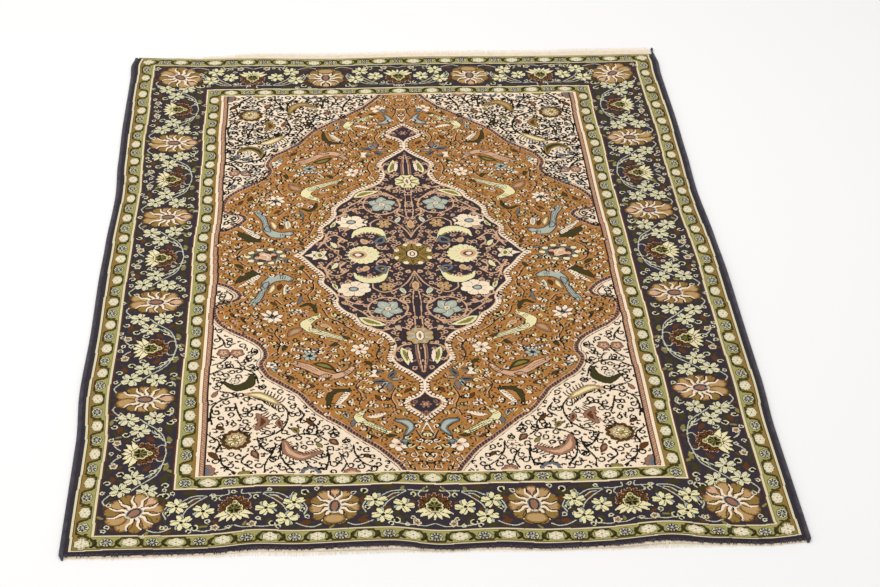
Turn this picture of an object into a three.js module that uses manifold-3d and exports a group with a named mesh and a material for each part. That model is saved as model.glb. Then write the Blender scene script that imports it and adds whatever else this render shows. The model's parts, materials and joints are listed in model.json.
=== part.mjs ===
// A hand-knotted wool rug lying flat on the floor: one slab of knotted pile, an overcast
// selvedge down each side, a flat-woven end with its cut warp fringe at each end of the
// pile, and the loose end of the right selvedge's yarn at the far corner.
// Millimetres, +Z up, +X to the right, +Y away from the near end.
import * as THREE from "three";
import { mergeVertices } from "three/addons/utils/BufferGeometryUtils.js";
import Module from "manifold-3d";

const wasm = await Module();
wasm.setup();

// Driving dimensions
const pileHalfWidth = 699;
const pileNear = -971;
const pileFar = 971;
const pileThickness = 9;
const shoulderHeight = 6;
const shoulderInset = 2.2;
const selvedgeWidth = 10;
const selvedgeHeight = 8;
const endClothThickness = 2;
const gap = 0.3;

// Steps of the pile's grid, which its selvedges and its ends share so that they fit it
const stepsAcross = 36;
const stepsAlong = 36;

// How far each side edge stands out beyond a straight side, from the near end to the far end
const sideSway = [
  { at: -971, left: -6, right: -2 },
  { at: -650, left: -6, right: -3 },
  { at: -480, left: 2, right: 2.5 },
  { at: -280, left: -1.5, right: 3 },
  { at: -80, left: -0.5, right: 4 },
  { at: 60, left: -3, right: 2 },
  { at: 280, left: -9, right: -4.5 },
  { at: 440, left: -3, right: -0.5 },
  { at: 620, left: 0, right: 1.5 },
  { at: 860, left: -1, right: 0.5 },
  { at: 925, left: 2, right: 3.5 },
  { at: 971, left: -5, right: 0 },
];

// How far each end of the pile stands out beyond a straight end, from left to right
const nearSway = [
  { at: -700, out: 2 },
  { at: -500, out: 3 },
  { at: -430, out: 2 },
  { at: -340, out: -6 },
  { at: -260, out: -2 },
  { at: -90, out: -3 },
  { at: 10, out: 9 },
  { at: 110, out: 6 },
  { at: 210, out: 13 },
  { at: 330, out: 10 },
  { at: 440, out: 1 },
  { at: 540, out: 11 },
  { at: 625, out: 16 },
  { at: 700, out: 9 },
];
const farSway = [
  { at: -700, out: 13 },
  { at: -600, out: 6 },
  { at: -520, out: 0 },
  { at: -180, out: -4 },
  { at: 60, out: 3 },
  { at: 400, out: 0 },
  { at: 700, out: 5 },
];

// Each end's flat-woven cloth, and the cut tips of the warps, past the pile's own edge
const nearEnd = [
  { at: -700, woven: 4, tips: 8 },
  { at: -600, woven: 5, tips: 12 },
  { at: -500, woven: 4, tips: 10 },
  { at: -430, woven: 5, tips: 13 },
  { at: -340, woven: 6, tips: 19 },
  { at: -90, woven: 6, tips: 18 },
  { at: -10, woven: 4, tips: 10 },
  { at: 60, woven: 4, tips: 10 },
  { at: 120, woven: 5, tips: 13 },
  { at: 210, woven: 4, tips: 8 },
  { at: 330, woven: 5, tips: 12 },
  { at: 440, woven: 6, tips: 20 },
  { at: 540, woven: 4, tips: 11 },
  { at: 625, woven: 4, tips: 7 },
  { at: 700, woven: 4, tips: 8 },
];
const farEnd = [
  { at: -700, woven: 3, tips: 8 },
  { at: -600, woven: 8, tips: 20 },
  { at: -480, woven: 18, tips: 34 },
  { at: -380, woven: 30, tips: 50 },
  { at: -180, woven: 30, tips: 49 },
  { at: 60, woven: 30, tips: 50 },
  { at: 400, woven: 30, tips: 51 },
  { at: 480, woven: 34, tips: 55 },
  { at: 700, woven: 33, tips: 53 },
];

// Shallow places where the rug stands a little off the floor
const lifts = [
  { x: -110, y: -971, reachX: 150, reachY: 190, height: 3 },
  { x: 400, y: -971, reachX: 130, reachY: 170, height: 2.5 },
  { x: -699, y: -420, reachX: 120, reachY: 190, height: 2 },
  { x: 699, y: -120, reachX: 130, reachY: 240, height: 2.5 },
  { x: -380, y: 971, reachX: 170, reachY: 130, height: 2 },
];

// How far each selvedge's ends run past the pile's, and the share of its girth left there
const selvedges = {
  left: { nearPast: 10, nearGirth: 0.4, farPast: 3, farGirth: 0.5 },
  right: { nearPast: 7, nearGirth: 0.5, farPast: 6, farGirth: 0.6 },
};

// The loose yarn's radius along it: a thin neck, then a frayed tuft
const tail = { start: 6.5, length: 37, turnOut: 3, facets: 8, rings: 8 };
const tailRadius = [
  { at: 0, out: 3.8 },
  { at: 14, out: 2.6 },
  { at: 21, out: 2.8 },
  { at: 29, out: 4.6 },
  { at: 37, out: 2.2 },
];

const fringe = { locks: 148, rootWidth: 4.2, tipWidth: 2.6, height: 1.8, root: 2, lean: 1.6, uneven: 1.5 };

// Colours of the dyed wool and the undyed cotton
const colours = { pile: 0x9a6a3c, selvedge: 0x2f2b3d, cotton: 0xe9ddc6 };

// A named column's value between the rows of a table, eased so that the edge has no corners
function fromTable(table, at, column = "out") {
  const next = table.findIndex((row) => at <= row.at);
  if (next === 0) return table[0][column];
  if (next < 0) return table[table.length - 1][column];
  const [a, b] = [table[next - 1], table[next]];
  const share = THREE.MathUtils.smoothstep(at, a.at, b.at);
  return THREE.MathUtils.lerp(a[column], b[column], share);
}

// Height of the rug's underside off the floor
function liftAt(x, y) {
  let height = 0;
  for (const place of lifts) {
    const away = Math.hypot((x - place.x) / place.reachX, (y - place.y) / place.reachY);
    if (away < 1) height += place.height * (1 - away * away) ** 2;
  }
  return height;
}

// Where a point of the straight rug lies once its edges sway: the sway fades inwards
const endFade = 330;
function lie(x, y) {
  const across = Math.min(1, Math.abs(x) / pileHalfWidth) ** 3;
  const nearShare = THREE.MathUtils.smoothstep(pileNear + endFade - y, 0, endFade);
  const farShare = THREE.MathUtils.smoothstep(y - pileFar + endFade, 0, endFade);
  return {
    x: x + Math.sign(x) * across * fromTable(sideSway, y, x < 0 ? "left" : "right"),
    y: y - nearShare * fromTable(nearSway, x) + farShare * fromTable(farSway, x),
    z: liftAt(x, y),
  };
}

// Moves every point of a geometry by a rule that returns its new place
function reshape(geometry, rule) {
  const position = geometry.attributes.position;
  const point = new THREE.Vector3();
  for (let i = 0; i < position.count; i++) {
    point.fromBufferAttribute(position, i);
    const moved = rule(point);
    position.setXYZ(i, moved.x, moved.y, moved.z);
  }
  return geometry;
}

function toSolid(geometry) {
  const bare = geometry.clone();
  bare.deleteAttribute("normal");
  bare.deleteAttribute("uv");
  const merged = mergeVertices(bare, 1e-3);
  const mesh = new wasm.Mesh({
    numProp: 3,
    vertProperties: merged.attributes.position.array,
    triVerts: new Uint32Array(merged.index.array),
  });
  return new wasm.Manifold(mesh);
}

function toGeometry(solid) {
  const mesh = solid.getMesh();
  const geometry = new THREE.BufferGeometry();
  geometry.setAttribute("position", new THREE.BufferAttribute(mesh.vertProperties, 3));
  geometry.setIndex(new THREE.BufferAttribute(mesh.triVerts, 1));
  return geometry;
}

const rug = new THREE.Group();

function addPiece(name, geometry, colour) {
  const material = new THREE.MeshStandardMaterial({ color: colour, roughness: 0.95, metalness: 0 });
  const piece = new THREE.Mesh(geometry, material);
  piece.name = name;
  rug.add(piece);
}

// The knotted pile: a slab with a soft upper edge
function pileSlab() {
  const length = pileFar - pileNear;
  const middle = (pileFar + pileNear) / 2;
  const slab = new THREE.BoxGeometry(2 * pileHalfWidth, length, 2, stepsAcross, stepsAlong, 2);
  return reshape(slab, (p) => {
    const top = p.z > 0.5;
    const level = top ? pileThickness : p.z > -0.5 ? shoulderHeight : 0;
    const inset = top ? shoulderInset : 0;
    const onSide = Math.abs(p.x) > pileHalfWidth - 1;
    const onEnd = Math.abs(p.y) > length / 2 - 1;
    const place = lie(p.x, p.y + middle);
    return {
      x: place.x - (onSide ? Math.sign(p.x) * inset : 0),
      y: place.y - (onEnd ? Math.sign(p.y) * inset : 0),
      z: place.z + level,
    };
  });
}

// A round cord of overcast wool beside the pile
function selvedgeCord(side) {
  const ends = side < 0 ? selvedges.left : selvedges.right;
  const rows = [{ y: pileNear - ends.nearPast, girth: ends.nearGirth }];
  for (let i = 0; i <= stepsAlong; i++) {
    rows.push({ y: THREE.MathUtils.lerp(pileNear, pileFar, i / stepsAlong), girth: 1 });
  }
  rows.push({ y: pileFar + ends.farPast, girth: ends.farGirth });
  const steps = rows.length - 1;
  const section = new THREE.Shape();
  section.absellipse(0, 0, selvedgeHeight / 2, selvedgeWidth / 2, 0, 2 * Math.PI);
  const cord = new THREE.ExtrudeGeometry(section, {
    extrudePath: new THREE.LineCurve3(new THREE.Vector3(), new THREE.Vector3(0, steps, 0)),
    steps,
    curveSegments: 10,
    bevelEnabled: false,
  });
  return reshape(cord, (p) => {
    const row = rows[Math.round(p.y)];
    const inner = lie(side * pileHalfWidth, row.y);
    return {
      x: inner.x + side * (gap + (selvedgeWidth / 2) * row.girth) + p.x * row.girth,
      y: inner.y,
      z: inner.z + (selvedgeHeight / 2 + p.z) * row.girth,
    };
  });
}

// A flat-woven strip along one end of the pile, with the cut warps standing out of it in locks
function fringedEnd(side, table) {
  const end = side < 0 ? pileNear : pileFar;
  const rootAt = (x) => lie(x, end).y + side * gap;
  const clothEdge = (x) => rootAt(x) + side * fromTable(table, x, "woven");
  const strip = new THREE.BoxGeometry(2 * pileHalfWidth, 2, 2, stepsAcross, 1, 1);
  reshape(strip, (p) => ({
    x: lie(p.x, end).x,
    y: side * p.y > 0 ? clothEdge(p.x) : rootAt(p.x),
    z: lie(p.x, end).z + (p.z > 0 ? endClothThickness : 0),
  }));
  let cloth = toSolid(strip);
  const pitch = (2 * pileHalfWidth) / fringe.locks;
  for (let i = 0; i < fringe.locks; i++) {
    const x = -pileHalfWidth + pitch * (i + 0.5);
    const place = lie(x, end);
    const root = clothEdge(x) - side * fringe.root;
    const shortfall = fringe.uneven * (1 + Math.sin(i * 2.4));
    const tip = rootAt(x) + side * (fromTable(table, x, "tips") - shortfall);
    const lean = fringe.lean * Math.sin(i * 1.7);
    const lock = new THREE.BoxGeometry(1, 1, 1);
    reshape(lock, (p) => {
      const outer = side * p.y > 0;
      return {
        x: place.x + p.x * (outer ? fringe.tipWidth : fringe.rootWidth) + (outer ? lean : 0),
        y: outer ? tip : root,
        z: (outer ? 0 : place.z) + (p.z > 0 ? fringe.height : 0),
      };
    });
    cloth = cloth.add(toSolid(lock));
  }
  return toGeometry(cloth);
}

// The loose end of the overcasting yarn, lying past the far right corner
function selvedgeTail() {
  const profile = [new THREE.Vector2(0, 0)];
  for (let i = 0; i <= tail.rings; i++) {
    const along = (tail.length * i) / tail.rings;
    profile.push(new THREE.Vector2(fromTable(tailRadius, along), along));
  }
  profile.push(new THREE.Vector2(0, tail.length));
  const yarn = new THREE.LatheGeometry(profile, tail.facets);
  const root = lie(pileHalfWidth, pileFar);
  const centre = root.x + gap + selvedgeWidth / 2;
  return reshape(yarn, (p) => ({
    x: centre + p.x + tail.turnOut * (p.y / tail.length) ** 2,
    y: root.y + tail.start + p.y,
    z: p.z + fromTable(tailRadius, p.y),
  }));
}

addPiece("knotted_pile", pileSlab(), colours.pile);
addPiece("selvedge_left", selvedgeCord(-1), colours.selvedge);
addPiece("selvedge_right", selvedgeCord(1), colours.selvedge);
addPiece("selvedge_tail", selvedgeTail(), colours.selvedge);
addPiece("fringed_end_near", fringedEnd(-1, nearEnd), colours.cotton);
addPiece("fringed_end_far", fringedEnd(1, farEnd), colours.cotton);

// The origin is on the floor, under the middle of everything
const middle = new THREE.Box3().setFromObject(rug).getCenter(new THREE.Vector3());
rug.position.set(-middle.x, -middle.y, 0);
rug.updateMatrixWorld(true);

export default rug;
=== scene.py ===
# A hand-knotted wool rug lying flat: its knotted pile, its overcast selvedges and its fringed ends
import json
import bpy
import numpy as np
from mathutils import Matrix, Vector

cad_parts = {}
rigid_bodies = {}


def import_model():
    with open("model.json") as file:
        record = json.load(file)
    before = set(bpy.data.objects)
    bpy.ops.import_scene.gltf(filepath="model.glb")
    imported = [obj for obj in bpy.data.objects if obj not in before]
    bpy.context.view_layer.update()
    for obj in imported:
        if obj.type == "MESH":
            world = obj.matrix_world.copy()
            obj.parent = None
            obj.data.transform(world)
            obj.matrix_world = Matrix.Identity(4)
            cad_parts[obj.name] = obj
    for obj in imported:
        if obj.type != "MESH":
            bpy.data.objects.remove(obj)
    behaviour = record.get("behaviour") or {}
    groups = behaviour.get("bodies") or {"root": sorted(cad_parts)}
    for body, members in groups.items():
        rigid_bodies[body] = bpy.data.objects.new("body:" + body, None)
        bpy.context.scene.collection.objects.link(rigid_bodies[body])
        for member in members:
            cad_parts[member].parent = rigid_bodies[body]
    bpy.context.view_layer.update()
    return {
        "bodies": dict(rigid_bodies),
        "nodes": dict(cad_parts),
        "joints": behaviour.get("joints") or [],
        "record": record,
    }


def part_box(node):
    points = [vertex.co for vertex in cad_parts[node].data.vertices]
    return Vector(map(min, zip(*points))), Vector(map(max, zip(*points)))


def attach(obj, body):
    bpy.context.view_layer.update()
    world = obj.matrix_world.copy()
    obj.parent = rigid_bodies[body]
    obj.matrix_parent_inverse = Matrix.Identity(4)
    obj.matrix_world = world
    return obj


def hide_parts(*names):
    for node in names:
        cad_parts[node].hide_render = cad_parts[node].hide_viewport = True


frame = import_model()
print("frame loaded")


# A colour written as sRGB hex, in the linear light that Blender works in
def linear(colour):
    values = [int(colour[i:i + 2], 16) / 255 for i in (1, 3, 5)]
    return (*[v / 12.92 if v <= 0.04045 else ((v + 0.055) / 1.055) ** 2.4 for v in values], 1.0)


def newMaterial(name):
    material = bpy.data.materials.new(name)
    material.use_nodes = True
    material.node_tree.nodes.clear()
    return material, material.node_tree


# Adds a node, sets its properties, and gives each input a value or a link
def addNode(tree, kind, inputs=None, **settings):
    node = tree.nodes.new("ShaderNode" + kind)
    for name, value in settings.items():
        setattr(node, name, value)
    for key, value in (inputs or {}).items():
        if isinstance(value, bpy.types.NodeSocket):
            tree.links.new(value, node.inputs[key])
        else:
            node.inputs[key].default_value = value
    return node


def finishMaterial(tree, shader):
    output = addNode(tree, "OutputMaterial")
    tree.links.new(shader.outputs[0], output.inputs["Surface"])


# Vertices are in the frame's metres, and second is the slice of faces that wear the second material
def newPiece(name, vertices, faces, materials, replaced=(), second=None, smoothed=False):
    mesh = bpy.data.meshes.new(name)
    mesh.from_pydata(vertices.tolist(), [], faces if isinstance(faces, list) else faces.tolist())
    piece = bpy.data.objects.new(name, mesh)
    bpy.context.collection.objects.link(piece)
    for material in materials:
        mesh.materials.append(material)
    if second is not None:
        slots = np.zeros(len(faces), np.int32)
        slots[second] = 1
        mesh.polygons.foreach_set("material_index", slots)
    if smoothed:
        mesh.polygons.foreach_set("use_smooth", np.ones(len(faces), bool))
    mesh.update()
    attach(piece, "root")
    if replaced:
        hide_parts(*replaced)
    return piece


# The straight rug in mm, with +Y away from its near end: its pile's thickness, how far its top edge is drawn
# in, how far from an end the sway of that end reaches, and the gap to what is sewn or woven on
rug = dict(halfWidth=699.0, near=-971.0, far=971.0, pile=9.0, inset=2.2, endFade=330.0, gap=0.3)

# How far each side edge stands out beyond a straight side, from the near end to the far end
sideSway = dict(
    at=[-971, -650, -480, -280, -80, 60, 280, 440, 620, 860, 925, 971],
    left=[-6, -6, 2, -1.5, -0.5, -3, -9, -3, 0, -1, 2, -5],
    right=[-2, -3, 2.5, 3, 4, 2, -4.5, -0.5, 1.5, 0.5, 3.5, 0],
)

# How far each end of the pile stands out beyond a straight end, from left to right
nearSway = dict(
    at=[-700, -500, -430, -340, -260, -90, 10, 110, 210, 330, 440, 540, 625, 700],
    out=[2, 3, 2, -6, -2, -3, 9, 6, 13, 10, 1, 11, 16, 9],
)
farSway = dict(at=[-700, -600, -520, -180, 60, 400, 700], out=[13, 6, 0, -4, 3, 0, 5])

# Each end's flat-woven cloth, and the cut tips of the warps, past the pile's own edge
nearEnd = dict(
    at=[-700, -600, -500, -430, -340, -90, -10, 60, 120, 210, 330, 440, 540, 625, 700],
    woven=[4, 5, 4, 5, 6, 6, 4, 4, 5, 4, 5, 6, 4, 4, 4],
    tips=[8, 12, 10, 13, 19, 18, 10, 10, 13, 8, 12, 20, 11, 7, 8],
)
farEnd = dict(
    at=[-700, -600, -480, -380, -180, 60, 400, 480, 700],
    woven=[3, 8, 18, 30, 30, 30, 30, 34, 33],
    tips=[8, 20, 34, 50, 49, 50, 51, 55, 53],
)

# Shallow places where the rug stands a little off the floor: x, y, reach across, reach along, height
lifts = [
    (-110, -971, 150, 190, 3), (400, -971, 130, 170, 2.5), (-699, -420, 120, 190, 2),
    (699, -120, 130, 240, 2.5), (-380, 971, 170, 130, 2),
]


def eased(share):
    share = np.clip(share, 0, 1)
    return share * share * (3 - 2 * share)


# A named column's value between the rows of a table, eased so that the edge has no corners
def fromTable(table, at, column="out"):
    places, values = np.array(table["at"], float), np.array(table[column], float)
    row = np.clip(np.searchsorted(places, at), 1, len(places) - 1)
    share = eased((at - places[row - 1]) / (places[row] - places[row - 1]))
    return values[row - 1] + (values[row] - values[row - 1]) * share


def liftAt(x, y):
    height = 0 * x
    for placeX, placeY, reachX, reachY, most in lifts:
        away = np.hypot((x - placeX) / reachX, (y - placeY) / reachY)
        height = height + most * np.clip(1 - away * away, 0, 1) ** 2
    return height


# Where points of the straight rug lie once its edges sway: the sway fades inwards
def lie(x, y, z=0.0):
    x, y, z = np.broadcast_arrays(np.asarray(x, float), y, z)
    across = np.minimum(1, np.abs(x) / rug["halfWidth"]) ** 3
    sway = np.where(x < 0, fromTable(sideSway, y, "left"), fromTable(sideSway, y, "right"))
    nearShare = eased((rug["near"] + rug["endFade"] - y) / rug["endFade"])
    farShare = eased((y - rug["far"] + rug["endFade"]) / rug["endFade"])
    newY = y - nearShare * fromTable(nearSway, x) + farShare * fromTable(farSway, x)
    return np.stack([x + np.sign(x) * across * sway, newY, z + liftAt(x, y)], -1)


# The straight rug's middle in the frame: the same edges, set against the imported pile's own box
def findMiddle():
    y = np.linspace(rug["near"], rug["far"], 37)
    x = np.linspace(-rug["halfWidth"], rug["halfWidth"], 27)
    left, near = lie(-rug["halfWidth"], y)[:, 0].min(), lie(x, rug["near"])[:, 1].min()
    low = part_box("knotted_pile")[0]
    return np.array([low[0] - left / 1000, low[1] - near / 1000, 0.0])


middle = findMiddle()


def toFrame(points):
    return np.asarray(points).reshape(-1, 3) / 1000 + middle


# Dyed wools of the pile as sRGB, in the order in which the knot chart numbers them
wools = dict(
    navy="#362e35", black="#1b1914", copper="#ab753b", ivory="#f1dbbf",
    leaf="#9e985b", ochre="#8d7038", olive="#3f391c", tan="#b79363",
    rose="#cfa583", pale="#d6cfab", straw="#e6dba8", sky="#abb0a0",
    slate="#696c6e", mauve="#966b55", rust="#5c381b", moss="#857a3e",
)
woolNumber = {name: i for i, name in enumerate(wools)}

# How many knots the pile has
knotting = dict(across=876, along=1212)


# The wool of each knot in the right half of the rug, which its left half mirrors, and where the knots are
def blankChart():
    columns, rows = knotting["across"] // 2, knotting["along"]
    return dict(
        grid=np.full((rows, columns), woolNumber["navy"], np.uint8),
        x=rug["halfWidth"] / columns * (np.arange(columns) + 0.5),
        y=rug["near"] + (rug["far"] - rug["near"]) / rows * (np.arange(rows) + 0.5),
    )


chart = blankChart()


# How far each knot is from a line, less half the line's own width there
def lineField(x, y, points, widths):
    best = np.full(np.broadcast(x, y).shape, 1e9)
    for (ax, ay), (bx, by), wa, wb in zip(points[:-1], points[1:], widths[:-1], widths[1:]):
        dx, dy = bx - ax, by - ay
        along = np.clip(((x - ax) * dx + (y - ay) * dy) / max(dx * dx + dy * dy, 1e-9), 0, 1)
        away = np.hypot(x - ax - along * dx, y - ay - along * dy)
        best = np.minimum(best, away - (wa + (wb - wa) * along) / 2)
    return best


# How far each knot is outside a closed outline, and below zero inside it
def shapeField(x, y, points):
    ends = np.roll(points, -1, axis=0)
    away = lineField(x, y, np.vstack([points, points[:1]]), np.zeros(len(points) + 1))
    inside = np.zeros(away.shape, bool)
    for (ax, ay), (bx, by) in zip(points, ends):
        if ay != by:
            inside ^= ((ay > y) != (by > y)) & (x < (bx - ax) * (y - ay) / (by - ay) + ax)
    return np.where(inside, -away, away)


# A frame is a place to draw in: where it is, and its own two directions
def frameAt(x, y, along=(1, 0), across=(0, 1)):
    return dict(at=np.array([x, y], float), along=np.array(along, float), across=np.array(across, float))


def within(frame, x, y, turn=0, size=1, flip=1):
    c, s = np.cos(np.radians(turn)) * size, np.sin(np.radians(turn)) * size
    return dict(
        at=frame["at"] + x * frame["along"] + y * frame["across"],
        along=c * frame["along"] + s * frame["across"],
        across=flip * (c * frame["across"] - s * frame["along"]),
    )


def turned(frame, turn):
    return within(frame, 0, 0, turn)


# The same frame turned evenly about its origin, as many times as a flower has petals
def around(frame, count, start=0):
    return [turned(frame, start + 360 * i / count) for i in range(count)]


# Knots a shape into the chart: coats are (grow, wool), from the widest to the narrowest
def knotIn(frame, points, coats, widths=None):
    points = np.atleast_2d(np.asarray(points, float))
    points = frame["at"] + points[:, :1] * frame["along"] + points[:, 1:] * frame["across"]
    reach = max(grow for grow, _ in coats) + (0 if widths is None else max(widths) / 2) + 2
    columns = slice(*np.searchsorted(chart["x"], (points[:, 0].min() - reach, points[:, 0].max() + reach)))
    rows = slice(*np.searchsorted(chart["y"], (points[:, 1].min() - reach, points[:, 1].max() + reach)))
    x, y = chart["x"][None, columns], chart["y"][rows, None]
    if not x.size or not y.size:
        return
    away = shapeField(x, y, points) if widths is None else lineField(x, y, points, widths)
    part = chart["grid"][rows, columns]
    for grow, wool in coats:
        part[away < grow] = woolNumber[wool]


def fill(frame, points, *coats):
    knotIn(frame, points, coats)


# A line of one width, or tapering from the first width to the last
def stroke(frame, points, width, *coats):
    widths = np.linspace(*width, len(points)) if isinstance(width, tuple) else [width] * len(points)
    knotIn(frame, points, coats, widths)


def dot(frame, x, y, radius, *coats):
    knotIn(frame, [(x, y), (x, y)], coats, [2 * radius] * 2)


# A smooth open curve through a few points
def smooth(points, steps=5):
    p = np.asarray(points, float)
    p = np.vstack([2 * p[0] - p[1], p, 2 * p[-1] - p[-2]])
    t = np.linspace(0, 1, steps, endpoint=False)[:, None]
    out = [
        0.5 * (2 * b + (c - a) * t + (2 * a - 5 * b + 4 * c - d) * t**2 + (3 * b - a - 3 * c + d) * t**3)
        for a, b, c, d in zip(p[:-3], p[1:-2], p[2:-1], p[3:])
    ]
    return np.vstack([*out, p[-2:-1]])


# A round outline with lobes
def lobed(radius, count, depth, start=0.0):
    turn = np.linspace(0, 2 * np.pi, count * 6, endpoint=False)
    r = radius * (1 - depth * (1 - np.abs(np.cos(count * turn / 2))))
    turn = turn + np.radians(start)
    return np.stack([r * np.cos(turn), r * np.sin(turn)], 1)


def oval(x, y, across, high):
    turn = np.linspace(0, 2 * np.pi, 14, endpoint=False)
    return np.stack([x + across / 2 * np.cos(turn), y + high / 2 * np.sin(turn)], 1)


# A leaf from the frame's origin along it, pointed at both ends and bent to one side
def almond(length, width, bend=0.0):
    t = np.linspace(0, 1, 7)
    spine = bend * 4 * t * (1 - t)
    half = width / 2 * np.sin(np.pi * t**0.8) ** 0.8
    upper = np.stack([length * t, spine + half], 1)
    lower = np.stack([length * t, spine - half], 1)[-2:0:-1]
    return np.vstack([upper, lower])


# A line that sets out along the frame and curls up
def hook(length, turns, hand, steps):
    t = np.linspace(0, 1, steps)
    heading = hand * 2 * np.pi * turns * t**1.4
    step = length / steps * (1.25 - 0.6 * t)
    path = np.stack([np.cumsum(step * np.cos(heading)), np.cumsum(step * np.sin(heading))], 1)
    return np.vstack([[0, 0], path])


# Places at an even pitch along a line, with the line's direction there in degrees
def stations(points, pitch, start=0.0):
    points = np.asarray(points, float)
    steps = np.diff(points, axis=0)
    run = np.concatenate([[0], np.cumsum(np.hypot(*steps.T))])
    out = []
    for at in np.arange(start, run[-1], pitch):
        i = min(np.searchsorted(run, at, "right") - 1, len(steps) - 1)
        place = points[i] + steps[i] * (at - run[i]) / max(run[i + 1] - run[i], 1e-9)
        out.append((place[0], place[1], np.degrees(np.arctan2(steps[i][1], steps[i][0]))))
    return out


# The field, and the straight bands round it from the outside in: half width, half length and wool
field = dict(side=444, end=761)
bands = [
    (690.5, 966.5, "pale"), (686.2, 962.5, "rust"), (684.8, 961.4, "ochre"), (651, 930, "pale"),
    (646.5, 926.5, "rust"), (643, 924, "navy"), (506.5, 801.5, "rust"), (503.5, 799.5, "ivory"),
    (499.5, 797, "leaf"), (466.5, 766.5, "ochre"), (463.5, 765, "ivory"), (457, field["end"], "rust"),
    (455.5, field["end"], "mauve"), (447.5, field["end"], "black"), (field["side"], field["end"], "copper"),
]

# The mauve stripe down each side is twisted with rose, like a two-coloured cord
cord = dict(inner=448.5, outer=455, lean=0.9, pitch=7, light=2.8)

# The guards: the line their flowers sit on, how many sit on a whole side and a whole end
guards = dict(
    outer=dict(side=668, end=945.5, countSide=44, countEnd=30, cornerIsBig=True, towards=1),
    inner=dict(side=481, end=780.8, countSide=38, countEnd=22, cornerIsBig=False, towards=-1),
)

# Half a guard's width, its line with its swing round the flowers, and half the flowers' sizes
guardShape = dict(
    half=14.5, line=4.8, swing=11.8, sharp=2.3, bigFlower=(15, 11.25), smallFlower=(12.5, 10.25),
)


def bandGrounds():
    x, y = np.abs(chart["x"])[None, :], np.abs(chart["y"])[:, None]
    for side, end, wool in bands:
        chart["grid"][(x < side) & (y < end)] = woolNumber[wool]
    inCord = (x > cord["inner"]) & (x < cord["outer"]) & (y < field["end"])
    chart["grid"][inCord & ((y + cord["lean"] * x) % cord["pitch"] < cord["light"])] = woolNumber["rose"]


# A big flower of six pale petals, or a small ringed one with dark gaps between its petals
def guardFlower(frame, big):
    along, across = guardShape["bigFlower" if big else "smallFlower"]
    def far(turn):
        return np.hypot(along * np.cos(np.radians(turn)), across * np.sin(np.radians(turn)))
    if big:
        fill(frame, lobed(1, 6, 0.1, start=30) * (along, across), (1.0, "olive"), (0, "pale"))
        for turn in range(0, 360, 60):
            stroke(turned(frame, turn), [(far(turn) * 0.3, 0), (far(turn) * 0.6, 0)], 2.6, (0, "ivory"))
            between = turned(frame, turn + 30)
            stroke(between, [(far(turn) * 0.5, 0), (far(turn) * 0.78, 0)], 1.5, (0, "sky"))
        dot(frame, 0, 0, 1.7, (0, "mauve"))
        return
    fill(frame, lobed(1, 8, 0.14) * (along, across), (1.6, "olive"), (0, "pale"), (-1.8, "sky"))
    for turn in range(0, 360, 45):
        gap = [(far(turn) * 0.36, 0), (far(turn) * 0.72, 0)]
        stroke(turned(frame, turn), gap, (2.6, 3.6), (0, "navy"))
    dot(frame, 0, 0, 2.0, (0, "rose"))


# Half of one straight run of a guard, from its middle to its corner flower
def guardRun(frame, guard, half, count, onEnd):
    pitch, swing, towards = 2 * half / count, guardShape["swing"], guard["towards"]
    corner = count // 2
    s = np.append(np.arange(0, half - swing, 2.0), half - swing)
    middleIsBig = (corner % 2 == 0) == guard["cornerIsBig"]
    wave = np.cos(np.pi * s / pitch + (0 if middleIsBig else np.pi))
    path = np.stack([s, -towards * swing * np.clip(guardShape["sharp"] * wave, -1, 1)], 1)
    for side, wool in ((1, "leaf" if onEnd else "ochre"), (-1, "leaf")):
        edge = guardShape["half"] * side * towards
        fill(frame, np.vstack([path, [(s[-1], edge), (0, edge)]]), (0.5, wool))
    stroke(frame, path, guardShape["line"], (0, "olive"))
    for i in range(corner + 1):
        big = (i % 2 == corner % 2) == guard["cornerIsBig"]
        spot = within(frame, (i + 0.5) * pitch, 0)
        if i < corner:
            stroke(spot, [(-2, -7), (2, 7)], 5.4, (0, "olive"))
        if i < corner and onEnd:
            hug = 1 if big else -1
            bow = [(-6 * hug, -10), (2.5 * hug, -3), (2.5 * hug, 4), (-5 * hug, 10)]
            stroke(spot, smooth(bow), (4, 6.4), (0, "olive"), (-1.9, "black"))
        guardFlower(within(frame, i * pitch, 0), big)


def guardBorders():
    for guard in guards.values():
        for end in (-1, 1):
            sideFrame = frameAt(guard["side"], 0, (0, end), (1, 0))
            guardRun(sideFrame, guard, guard["end"], guard["countSide"], False)
            endFrame = frameAt(0, end * guard["end"], (1, 0), (0, end))
            guardRun(endFrame, guard, guard["side"], guard["countEnd"], True)


# The main border's middle lines; half its repeat, its whole repeats and its tan palmettes on each run
mainBorder = dict(
    side=575, end=861, cornerIn=(1, 3), cornerPalmette=(54, 60),
    sideRun=dict(half=173, repeats=2, palmette=(43, 61)),
    endRun=dict(half=191.7, repeats=1, palmette=(50, 53)),
)


# A flower of split petals that stand apart round a dark heart, light ones and cool ones
def blossom(frame, radius, petals, light, cool):
    for i, petal in enumerate(around(frame, petals)):
        wool = cool if i % 5 in (1, 3) else light
        for split, shade in ((-1, wool), (1, light)):
            part = within(petal, radius * 0.2, 0, 15 * split)
            fill(part, oval(radius * 0.42, 0, radius * 0.84, radius * 0.44), (1.3, "black"), (0, shade))
        stroke(petal, [(radius * 0.3, 0), (radius * 0.62, 0)], 2.2, (0, light))
    dot(frame, 0, 0, radius * 0.19, (1.6, "straw"), (0, "black"))


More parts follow.
